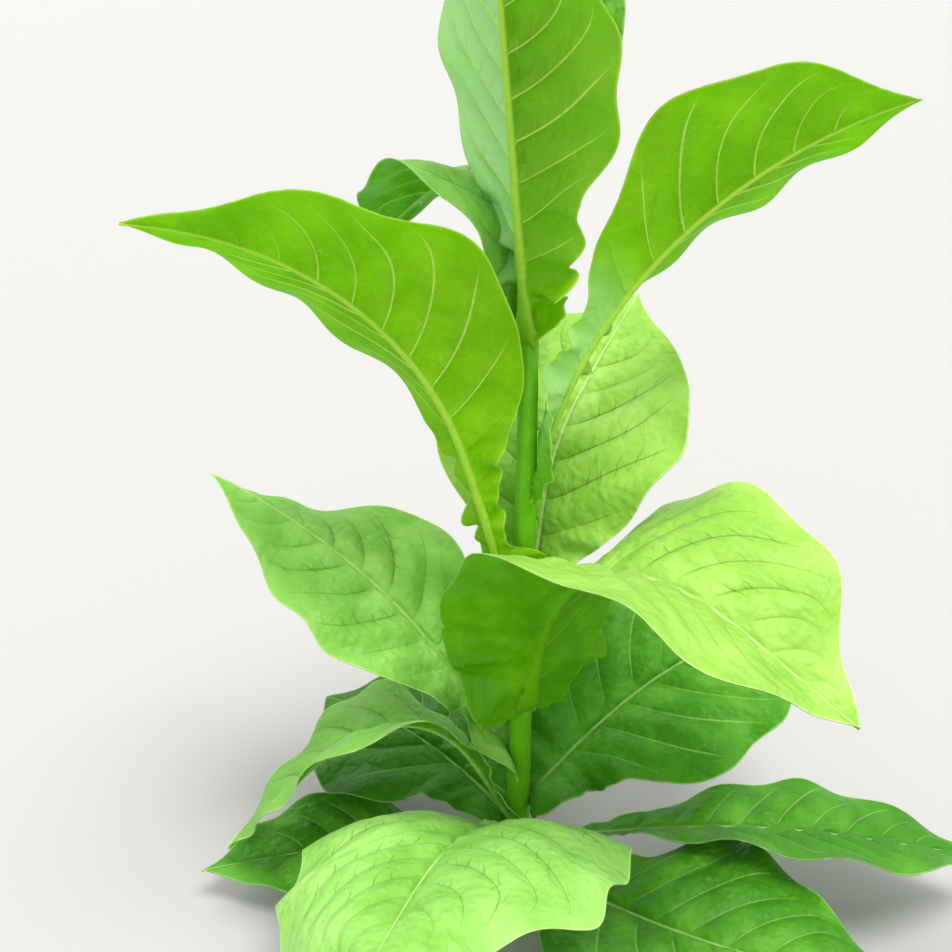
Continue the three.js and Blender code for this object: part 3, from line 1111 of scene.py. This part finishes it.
@dataclass
class GrowingTip:
    """The shut bud on top of the stem, wrapped in small leaves, in mm."""

    line: StemLine
    gap: float = 0.3
    length: float = 42
    radius: float = 6
    fullness: float = 0.8
    wraps: int = 5
    turn: float = 137.5
    first_turn: float = 40
    leaf_wall: float = 0.35

    def build(self) -> bpy.types.Object:
        """Makes the bud and joins its small leaves to it.

        Returns:
            The piece, in metres.
        """
        deselect_all()
        bpy.ops.mesh.primitive_uv_sphere_add(segments=32, ring_count=24, radius=1)
        core = bpy.context.object
        core.name = core.data.name = "growing_bud"
        places = vertex_places(core)
        t = (places[:, 2] + 1) / 2
        angle = np.arctan2(places[:, 1], places[:, 0])
        z = self.line.height + self.gap + (self.length - 3) * t
        swell = np.sin(np.pi * np.clip(0.16 + 0.84 * t, 0, 1)) ** self.fullness
        pinch = 1 + 0.14 * np.cos(3 * angle + 2.4 * t)
        inside = np.hypot(places[:, 0], places[:, 1])
        out = (self.radius - 1.4) * np.minimum(swell * pinch, 4 * inside)
        move_vertices(core, (self.line.centre(z) + ring(angle, out)) * MM)
        values = {
            BLADE_COORDS: np.stack([z * MM, angle * 0.01, t * 6], -1),
            RIB_MASK: 0 * t,
            EDGE: 0 * t + 1,
            UNDER_MASK: 0 * t + 1,
            TONE: 0.4 * np.cos(3 * angle),
        }
        add_point_values(core, values | {VEIN_FORCE: 0 * t, PAINTED_SHEEN: 0 * t})
        lay_out_map(core, 0.01 + 0.13 * (angle / (2 * np.pi) + 0.5), 0.01 + 0.98 * t)
        parts = [core, *(self.small_leaf(k) for k in range(self.wraps))]
        only_active(core)
        for part in parts[1:]:
            part.select_set(True)
        bpy.ops.object.join()
        shade_smooth(core, BLADE_SHARPEST)
        return core

    def small_leaf(self, k: int) -> bpy.types.Object:
        """One small leaf that lies close round the bud.

        Args:
            k: Its number, from the lowest.

        Returns:
            The leaf, in metres.
        """
        rows, columns = 20, 13
        turn = math.radians(self.turn * k + self.first_turn)
        tall = self.length * (0.98 - 0.09 * k)
        sheet = thin_grid(f"bud_leaf_{k + 1}", rows, columns)
        t = sheet.row / (rows - 1)
        v = sheet.column / (columns - 1) * 2 - 1
        lift = self.line.height - 6 + 0.5 * k + tall * t
        share = np.sin(np.pi * np.clip(0.12 + 0.88 * t, 0, 1)) ** self.fullness
        near = (self.radius - 1.0) * np.sin(np.pi * np.clip(0.22 + 0.72 * t, 0, 1)) ** 0.6
        near = near + 0.12 * k
        near = near + 0.25 * np.sin(9 * t + 2 * v) * np.abs(v)
        near = near - np.where(sheet.is_under, self.leaf_wall, -0.1)
        places = self.line.centre(lift) + ring(turn + v * 1.25 * share, near)
        move_vertices(sheet.piece, places * MM)
        values = {
            BLADE_COORDS: np.stack([t * 0.04, v * 0.006, t * 6], -1),
            RIB_MASK: fades(np.abs(v), 0, 0.12),
            EDGE: (1 - np.abs(v)) * self.radius * MM,
            UNDER_MASK: 1.0 - sheet.is_under,
            TONE: 0.2 * np.sin(5 * t + k),
        }
        add_point_values(sheet.piece, values | {VEIN_FORCE: 0 * v, PAINTED_SHEEN: 0 * v})
        left = (k + 1) / (self.wraps + 1)
        width = 0.48 / (self.wraps + 1)
        across_map = left + width * ((v + 1) / 2 + sheet.is_under)
        lay_out_map(sheet.piece, across_map, 0.01 + 0.98 * t)
        return sheet.piece

    def dress(self, piece: bpy.types.Object, material: bpy.types.Material) -> None:
        """Gives the bud its material and ties it to the frame."""
        piece.data.materials.append(material)
        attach(piece, ROOT)
        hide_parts("growing_tip")


# Finishes

Socket = bpy.types.NodeSocket
Link = Socket | float | Colour | None


@dataclass
class Nodes:
    """Adds nodes to one node tree and joins them."""

    tree: bpy.types.NodeTree

    def add(
        self, kind: str, *links: Link, inputs: dict[str, Link] | None = None, **values: object
    ) -> bpy.types.Node:
        """Adds a node.

        Args:
            kind: The node's type name without its Shader Node prefix.
            links: What goes into each of its sockets in turn: a socket, a value, or nothing.
            inputs: What goes into some of its sockets, by their names.
            values: The node's own settings.

        Returns:
            The node.
        """
        node = self.tree.nodes.new("ShaderNode" + kind)
        for key, value in values.items():
            setattr(node, key, value)
        for socket, link in zip(node.inputs, links):
            self.feed(socket, link)
        for name, link in (inputs or {}).items():
            self.feed(node.inputs[name], link)
        return node

    def feed(self, socket: Socket, link: Link) -> None:
        """Joins a socket to another, or sets its value.

        Args:
            socket: What is fed.
            link: What feeds it. Nothing leaves it as it is.
        """
        if isinstance(link, bpy.types.NodeSocket):
            self.tree.links.new(link, socket)
        elif link is not None:
            is_colour = socket.type == "RGBA" and len(link) == 3
            socket.default_value = (*link, 1.0) if is_colour else link

    def math(self, operation: str, *links: Socket | float) -> Socket:
        """One Math node's result."""
        return self.add("Math", *links, operation=operation).outputs[0]

    def times(self, first: Socket, second: Socket | float) -> Socket:
        """Two values multiplied."""
        return self.math("MULTIPLY", first, second)

    def plus(self, first: Socket, second: Socket | float) -> Socket:
        """Two values added."""
        return self.math("ADD", first, second)

    def minus(self, first: Socket, second: Socket | float) -> Socket:
        """The first value less the second."""
        return self.math("SUBTRACT", first, second)

    def ramp(
        self, value: Socket, low: float, high: float, first: float = 0.0, last: float = 1.0
    ) -> Socket:
        """A soft step of a value, from first at low to last at high."""
        step = self.add("MapRange", value, low, high, first, last, interpolation_type="SMOOTHSTEP")
        return step.outputs[0]

    def mix(self, share: Socket | float, first: Socket | Colour, second: Socket | Colour) -> Socket:
        """Two colours mixed, share being how much of the second there is."""
        node = self.tree.nodes.new("ShaderNodeMix")
        node.data_type = "RGBA"
        for index, link in ((0, share), (6, first), (7, second)):
            self.feed(node.inputs[index], link)
        return node.outputs[2]

    def noise(
        self, place: Socket, scale: float, detail: float = 2, dimensions: str = "3D"
    ) -> bpy.types.Node:
        """Adds a noise texture, finer with a larger scale, and with detail finer layers."""
        inputs = {"Scale": scale, "Detail": detail}
        return self.add("TexNoise", place, inputs=inputs, noise_dimensions=dimensions)

    def cells(self, place: Socket, feature: str, **inputs: float) -> Socket:
        """A distance in a flat pattern of cells, to their middles or edges as feature says."""
        settings = {"feature": feature, "voronoi_dimensions": "2D"}
        return self.add("TexVoronoi", place, inputs=inputs, **settings).outputs["Distance"]

    def bump(self, height: Socket, strength: float, distance: float) -> Socket:
        """The normal of a relief that is distance high, in metres."""
        inputs = {"Strength": strength, "Distance": distance, "Height": height}
        return self.add("Bump", inputs=inputs).outputs[0]

    def attribute(self, name: str) -> bpy.types.Node:
        """Reads a value that the mesh holds."""
        return self.add("Attribute", attribute_name=name)

    def group(self, tree: bpy.types.NodeTree, inputs: dict[str, Link]) -> bpy.types.Node:
        """Adds a node group and feeds its inputs, by their names."""
        return self.add("Group", inputs=inputs, node_tree=tree)

    def principled(self, colour: Socket, rough: Socket, normal: Socket) -> bpy.types.Node:
        """Adds the shader of a skin with this colour, roughness and normal."""
        inputs = {"Base Color": colour, "Roughness": rough, "Normal": normal}
        return self.add("BsdfPrincipled", inputs=inputs)


@dataclass
class GroupNodes(Nodes):
    """The nodes of a shader node group while it is made."""

    get: bpy.types.NodeOutputs
    made: bpy.types.Node

    @classmethod
    def start(cls, name: str, inputs: dict[str, str], outputs: dict[str, str]) -> "GroupNodes":
        """Starts a group.

        Args:
            name: The group's name.
            inputs: Socket type of each input by name.
            outputs: Socket type of each output by name.

        Returns:
            Its nodes, with the values that the group is given.
        """
        tree = bpy.data.node_groups.new(name, "ShaderNodeTree")
        for direction, sockets in (("INPUT", inputs), ("OUTPUT", outputs)):
            for socket, kind in sockets.items():
                tree.interface.new_socket(
                    name=socket, in_out=direction, socket_type="NodeSocket" + kind
                )
        given, made = (tree.nodes.new(kind) for kind in ("NodeGroupInput", "NodeGroupOutput"))
        return cls(tree, given.outputs, made)

    def give(self, results: dict[str, Socket]) -> bpy.types.NodeTree:
        """Joins the group's results to its outputs, by name, and hands over its tree."""
        for name, result in results.items():
            self.feed(self.made.inputs[name], result)
        return self.tree


BRANCH_SPACING = 15.0
VEIN_WIDTH = 0.036
GLOW_COLOUR_SHARE = 0.4


def vein_net_group() -> bpy.types.NodeTree:
    """The blade's side veins and the small veins between them, as masks."""
    masks = ("Side Vein", "Branch", "Net", "Quilt", "Mottle")
    nodes = GroupNodes.start(
        "vein_net",
        {"Blade": "Vector", "Force": "Float", "Vein Width": "Float"},
        dict.fromkeys(masks, "Float"),
    )
    force = nodes.get["Force"]
    along, across, phase = nodes.add("SeparateXYZ", nodes.get["Blade"]).outputs
    index = nodes.math("ROUND", phase)
    off_vein = nodes.math("ABSOLUTE", nodes.minus(phase, index))
    narrow = nodes.times(nodes.get["Vein Width"], nodes.ramp(force, 0.0, 0.9, 0.5, 1.0))
    side = nodes.ramp(nodes.math("DIVIDE", off_vein, narrow), 0.45, 1.15, 1.0, 0.0)
    side = nodes.times(side, nodes.ramp(force, 0.0, 0.35))
    flat = nodes.add("CombineXYZ", along, across, 0.0).outputs[0]
    wander = nodes.noise(flat, 60, dimensions="2D")
    steps = nodes.times(across, 1000 / BRANCH_SPACING)
    steps = nodes.plus(steps, nodes.times(index, 0.37))
    steps = nodes.plus(steps, nodes.times(wander.outputs[0], 0.7))
    off_branch = nodes.math("ABSOLUTE", nodes.minus(nodes.math("FRACT", steps), 0.5))
    branch = nodes.ramp(off_branch, 0.0, 0.055, 1.0, 0.0)
    branch = nodes.times(branch, nodes.ramp(off_vein, 0.08, 0.4, 1.0, 0.0))
    branch = nodes.times(branch, nodes.ramp(force, 0.1, 0.8))
    middle = (0.5, 0.5, 0.5)
    shift = nodes.add("VectorMath", wander.outputs["Color"], middle, operation="SUBTRACT")
    shift = nodes.add("VectorMath", shift.outputs[0], inputs={"Scale": 0.01}, operation="SCALE")
    warped = nodes.add("VectorMath", flat, shift.outputs[0], operation="ADD").outputs[0]
    cells = nodes.cells(warped, "DISTANCE_TO_EDGE", Scale=150)
    quilt = nodes.cells(warped, "SMOOTH_F1", Scale=105, Smoothness=0.9)
    net = nodes.ramp(cells, 0.0, 0.07, 1.0, 0.0)
    quilt = nodes.ramp(quilt, 0.0, 0.75, 1.0, 0.0)
    mottle = nodes.noise(flat, 22, 4, "2D").outputs[0]
    return nodes.give(dict(zip(masks, (side, branch, net, quilt, mottle))))


def leaf_colour_group() -> bpy.types.NodeTree:
    """Colours one side of a blade from its plain colour, its veins and its tone."""
    colours = ("Plain", "Deep", "Pale", "Vein", "Line", "Painted Sheen Colour")
    masks = ("Side Vein", "Branch", "Net", "Mottle", "Tone", "Rib", "Edge", "Painted Sheen")
    strengths = ("Line Strength", "Branch Strength", "Net Strength")
    nodes = GroupNodes.start(
        "blade_colour",
        dict.fromkeys(colours, "Color") | dict.fromkeys(masks + strengths, "Float"),
        {"Colour": "Color"},
    )
    get = nodes.get
    tone = nodes.plus(nodes.times(get["Tone"], 0.5), 0.5)
    patchy = nodes.plus(nodes.times(nodes.minus(get["Mottle"], 0.5), 0.9), tone)
    body = nodes.mix(nodes.ramp(patchy, 0.15, 0.75, 0.75, 0.0), get["Plain"], get["Deep"])
    body = nodes.mix(nodes.ramp(patchy, 0.45, 1.05, 0.0, 0.7), body, get["Pale"])
    # Painted sheen: a pale colour that stands in for the sky's reflection
    body = nodes.mix(get["Painted Sheen"], body, get["Painted Sheen Colour"])
    # Side veins, small veins and net take the line colour: pale vein colour on under sides, painted
    # crease shade where it is dark on upper sides
    for mask, strength in zip(("Net", "Branch", "Side Vein"), reversed(strengths)):
        body = nodes.mix(nodes.times(get[mask], get[strength]), body, get["Line"])
    body = nodes.mix(nodes.times(get["Rib"], 0.9), body, get["Vein"])
    body = nodes.mix(nodes.ramp(get["Edge"], 0.0006, 0.002, 0.75, 0.0), body, get["Vein"])
    return nodes.give({"Colour": body})


def blade_relief_group() -> bpy.types.NodeTree:
    """The blade's finest relief: the swelling between the small veins and a downy grain."""
    nodes = GroupNodes.start(
        "blade_relief",
        {"Blade": "Vector", "Quilt": "Float", "Branch": "Float", "Under": "Float"},
        {"Normal": "Vector"},
    )
    get = nodes.get
    grain = nodes.noise(get["Blade"], 700, dimensions="2D").outputs[0]
    swell = nodes.minus(get["Quilt"], nodes.times(get["Branch"], 0.7))
    swell = nodes.times(swell, nodes.ramp(get["Under"], 0.0, 1.0, 1.0, -0.7))
    height = nodes.plus(swell, nodes.times(grain, 0.1))
    return nodes.give({"Normal": nodes.bump(height, 0.8, 0.0013)})


def new_material(name: str) -> tuple[bpy.types.Material, Nodes]:
    """A new material and its nodes, with none in it yet."""
    material = bpy.data.materials.new(name)
    material.use_nodes = True
    material.node_tree.nodes.clear()
    return material, Nodes(material.node_tree)


@dataclass(frozen=True)
class BladeGroups:
    """The node groups that all leaf materials share."""

    veins: bpy.types.NodeTree
    colour: bpy.types.NodeTree
    relief: bpy.types.NodeTree


@dataclass(frozen=True)
class Face:
    """One side of a blade. Colours are as seen on screen, from 0 to 255.

    Attributes:
        plain: Most of it.
        deep: Its darker patches.
        pale: Its lighter patches.
        line: Its side veins: on upper sides mostly a dark colour, painted shade in the vein
            creases.
        rib: Its midrib and margin.
        line_strength: How clearly the side veins show.
        branch_strength: How clearly the small veins between them do.
        net_strength: How clearly the finest net does.
    """

    plain: ScreenColour
    deep: ScreenColour
    pale: ScreenColour
    line: ScreenColour
    rib: ScreenColour
    line_strength: float
    branch_strength: float
    net_strength: float

    @classmethod
    def upper(cls, *colours: ScreenColour, line_strength: float = 0.55) -> "Face":
        """An upper side, where side veins lie in creases; a dark line colour there is painted
        shade.
        """
        return cls(*colours, line_strength, branch_strength=0.32, net_strength=0.05)

    @classmethod
    def under(cls, *colours: ScreenColour, line_strength: float = 0.95) -> "Face":
        """An under side, where side veins stand out pale."""
        return cls(*colours, line_strength, 0.5 * line_strength, net_strength=0.1)

    def add_to(self, nodes: Nodes, group: bpy.types.NodeTree, others: dict[str, Link]) -> Socket:
        """Adds the colour group for this side.

        Args:
            nodes: The material's nodes.
            group: The group that colours a blade.
            others: What goes into the group's masks, and its bloom's colour.

        Returns:
            The side's colour.
        """
        inputs = others | {
            "Plain": linear(*self.plain),
            "Deep": linear(*self.deep),
            "Pale": linear(*self.pale),
            "Line": linear(*self.line),
            "Vein": linear(*self.rib),
            "Line Strength": self.line_strength,
            "Branch Strength": self.branch_strength,
            "Net Strength": self.net_strength,
        }
        return nodes.group(group, inputs).outputs[0]


@dataclass(frozen=True)
class LeafFinish:
    """How one kind of leaf looks. Colours are as seen on screen, from 0 to 255."""

    upper: Face
    under: Face
    glow: ScreenColour
    # The painted sheen's colour, a pale green that stands in for the sky's reflection
    painted_sheen: ScreenColour = (178, 228, 150)
    glow_share: float = 0.42
    roughness: float = 0.42
    shine: float = 0.24
    sheen: float = 0.08

    def material(self, name: str, groups: BladeGroups) -> bpy.types.Material:
        """Builds the material.

        Args:
            name: Its name.
            groups: The node groups that all leaves share.

        Returns:
            The material, opaque, with light coming through it.
        """
        material, nodes = new_material(name)
        blade = nodes.attribute(BLADE_COORDS).outputs["Vector"]
        held = (RIB_MASK, EDGE, UNDER_MASK, TONE, PAINTED_SHEEN, VEIN_FORCE)
        read = {value: nodes.attribute(value).outputs["Fac"] for value in held}
        given = {"Blade": blade, "Force": read[VEIN_FORCE], "Vein Width": VEIN_WIDTH}
        net = nodes.group(groups.veins, given).outputs
        masks = {"Tone": read[TONE], "Rib": read[RIB_MASK], "Edge": read[EDGE]}
        masks |= {"Painted Sheen": read[PAINTED_SHEEN], "Painted Sheen Colour": linear(*self.painted_sheen)}
        masks |= {mask: net[mask] for mask in ("Side Vein", "Branch", "Net", "Mottle")}
        upper, under = (
            face.add_to(nodes, groups.colour, masks) for face in (self.upper, self.under)
        )
        colour = nodes.mix(read[UNDER_MASK], upper, under)
        given = {"Blade": blade, "Under": read[UNDER_MASK]}
        given |= {mask: net[mask] for mask in ("Quilt", "Branch")}
        relief = nodes.group(groups.relief, given).outputs[0]
        rough = nodes.ramp(net["Mottle"], 0.2, 0.8, self.roughness - 0.07, self.roughness + 0.1)
        skin = nodes.principled(colour, rough, relief)
        skin.inputs["Specular IOR Level"].default_value = self.shine
        skin.inputs["Sheen Weight"].default_value = self.sheen
        skin.inputs["Sheen Roughness"].default_value = 0.4
        light = nodes.mix(GLOW_COLOUR_SHARE, colour, linear(*self.glow))
        through = nodes.add("BsdfTranslucent", light, relief)
        both = nodes.add("MixShader", self.glow_share, skin.outputs[0], through.outputs[0])
        nodes.add("OutputMaterial", both.outputs[0])
        return material


@dataclass(frozen=True)
class StemFinish:
    """Smooth green skin with pale streaks along it. Colours are as seen on screen."""

    plain: ScreenColour = (100, 174, 8)
    deep: ScreenColour = (80, 152, 4)
    pale: ScreenColour = (146, 206, 44)
    roughness: float = 0.36
    shine: float = 0.35
    sheen: float = 0.04
    stretch: tuple[float, float, float] = (260.0, 260.0, 9.0)

    def material(self, name: str) -> bpy.types.Material:
        """Builds the material."""
        material, nodes = new_material(name)
        place = nodes.add("TexCoord").outputs["Object"]
        stretched = nodes.add("Mapping", place, None, None, self.stretch).outputs[0]
        streaks = nodes.noise(stretched, 5, 3).outputs[0]
        patches = nodes.noise(place, 28, 4).outputs[0]
        plain, deep, pale = (linear(*colour) for colour in (self.plain, self.deep, self.pale))
        body = nodes.mix(nodes.ramp(patches, 0.3, 0.7, 0.55, 0.0), plain, deep)
        body = nodes.mix(nodes.ramp(streaks, 0.5, 0.75, 0.0, 0.3), body, pale)
        rough = nodes.ramp(patches, 0.2, 0.8, self.roughness - 0.06, self.roughness + 0.1)
        skin = nodes.principled(body, rough, nodes.bump(streaks, 0.3, 0.0003))
        skin.inputs["Specular IOR Level"].default_value = self.shine
        skin.inputs["Sheen Weight"].default_value = self.sheen
        nodes.add("OutputMaterial", skin.outputs[0])
        return material


# Each face: plain, deep, pale, side veins, midrib. Dark side veins on upper faces are painted shade
# in the creases.
FINISHES = {
    # Darker colours than the middle finish's: painted shade on the low leaves under the ones above
    LeafKind.GROUND: LeafFinish(
        Face.upper((82, 160, 24), (54, 126, 10), (118, 188, 62), (160, 208, 104), (172, 212, 120)),
        Face.under((104, 168, 30), (70, 134, 14), (146, 200, 70), (184, 220, 136), (172, 212, 120)),
        glow=(130, 205, 5),
        glow_share=0.34,
    ),
    LeafKind.MIDDLE: LeafFinish(
        Face.upper(
            (152, 212, 92), (118, 186, 60), (186, 234, 128), (73, 115, 37), (204, 236, 140),
            line_strength=0.4,
        ),
        Face.under((128, 196, 30), (94, 166, 12), (160, 220, 76), (212, 240, 150), (204, 236, 140)),
        glow=(150, 220, 5),
        glow_share=0.34,
    ),
    LeafKind.SUNNY: LeafFinish(
        Face.upper((178, 224, 96), (144, 202, 64), (206, 238, 130), (88, 127, 33), (234, 242, 172)),
        Face.under(
            (116, 188, 4), (88, 162, 0), (140, 208, 20), (150, 212, 40), (128, 196, 18),
            line_strength=0.6,
        ),
        glow=(150, 215, 0),
        glow_share=0.34,
    ),
    LeafKind.LIT: LeafFinish(
        Face.upper((144, 212, 60), (102, 180, 30), (180, 232, 100), (63, 111, 18), (204, 234, 92)),
        Face.under((150, 210, 10), (128, 194, 2), (172, 226, 36), (226, 246, 130), (204, 234, 92)),
        glow=(164, 226, 0),
        # A paler painted sheen, standing in for the sky's reflection
        painted_sheen=(204, 244, 180),
        glow_share=0.5,
        shine=0.18,
        sheen=0.03,
    ),
    LeafKind.YOUNG: LeafFinish(
        Face.upper((156, 216, 84), (118, 190, 50), (188, 236, 122), (73, 117, 31), (206, 238, 148)),
        Face.under(
            (156, 218, 70), (126, 194, 40), (188, 236, 112), (214, 242, 156), (206, 238, 148)
        ),
        glow=(166, 230, 20),
        sheen=0.16,
    ),
}


# Studio

Place = tuple[float, float, float]


@dataclass(frozen=True)
class Lamp:
    """A distant soft lamp, by the direction of its light and how wide it looks in degrees."""

    name: str
    place: Place
    softness: float
    strength: float

    def hang(self) -> None:
        """Adds the lamp to the scene."""
        data = bpy.data.lights.new(self.name, "SUN")
        data.angle = math.radians(self.softness)
        data.energy = self.strength
        lamp = bpy.data.objects.new(self.name, data)
        lamp.location = self.place
        lamp.rotation_mode = "QUATERNION"
        lamp.rotation_quaternion = Vector(self.place).to_track_quat("Z", "Y")
        bpy.context.scene.collection.objects.link(lamp)


@dataclass(frozen=True)
class Studio:
    """Plain floor, soft light and the camera at the photograph's angle, in metres and degrees."""

    eye: Place = (-0.047, -1.09235, 0.92134)
    pitch: float = 22.0
    view_angle: float = 44.0
    sensor: float = 36.0
    sees_to: float = 4000
    floor_size: float = 3000.0
    floor_colour: Colour = (0.4, 0.395, 0.38)
    sky_colour: Colour = (0.95, 0.96, 0.97)
    lamps: tuple[Lamp, ...] = (
        Lamp("key", (0.55, -0.5, 2.0), 30, 3.1),
        Lamp("back", (-1.0, 1.4, 1.8), 40, 1.0),
        Lamp("front", (-0.3, -2.0, 0.9), 60, 0.7),
    )

    def camera(self) -> None:
        """Sets up the camera."""
        data = bpy.data.cameras.new("camera")
        data.sensor_width = self.sensor
        data.lens = self.sensor / 2 / math.tan(math.radians(self.view_angle / 2))
        data.clip_end = self.sees_to
        camera = bpy.data.objects.new("camera", data)
        camera.location = self.eye
        camera.rotation_euler = (math.radians(90 - self.pitch), 0, 0)
        bpy.context.scene.collection.objects.link(camera)
        bpy.context.scene.camera = camera

    def floor(self) -> None:
        """Lays the floor."""
        deselect_all()
        bpy.ops.mesh.primitive_plane_add(size=self.floor_size, location=(0, 0, 0))
        floor = bpy.context.object
        floor.name = "floor"
        material = bpy.data.materials.new("floor")
        material.use_nodes = True
        skin = material.node_tree.nodes["Principled BSDF"]
        skin.inputs["Base Color"].default_value = (*self.floor_colour, 1)
        skin.inputs["Roughness"].default_value = 0.9
        floor.data.materials.append(material)

    def light(self) -> None:
        """Hangs the lamps and sets the even light all round."""
        for lamp in self.lamps:
            lamp.hang()
        world = bpy.data.worlds.new("studio")
        world.use_nodes = True
        background = world.node_tree.nodes["Background"]
        background.inputs["Color"].default_value = (*self.sky_colour, 1)
        background.inputs["Strength"].default_value = 1.0
        bpy.context.scene.world = world
        bpy.context.scene.view_settings.view_transform = "Standard"


def report(step: Callable[[], bpy.types.Object]) -> bpy.types.Object:
    """Runs one building step and logs the piece that it makes."""
    piece = step()
    LOG.info("%s: %d faces", piece.name, len(piece.data.polygons))
    return piece


def main() -> None:
    """Builds and dresses the plant, piece by piece, and sets up the studio."""
    logging.basicConfig(level=logging.INFO, format="%(message)s")
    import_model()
    groups = BladeGroups(vein_net_group(), leaf_colour_group(), blade_relief_group())
    materials = {kind: finish.material(kind.value, groups) for kind, finish in FINISHES.items()}
    line = StemLine()
    stem = Stem(line)
    stem.dress(report(stem.build), StemFinish().material("stem_skin"))
    tip = GrowingTip(line)
    tip.dress(report(tip.build), materials[LeafKind.YOUNG])
    for leaf in LEAVES:
        leaf.dress(report(lambda made=leaf: made.build(line)), materials[leaf.kind])
    studio = Studio()
    studio.floor()
    studio.light()
    studio.camera()


if __name__ == "__main__":
    main()
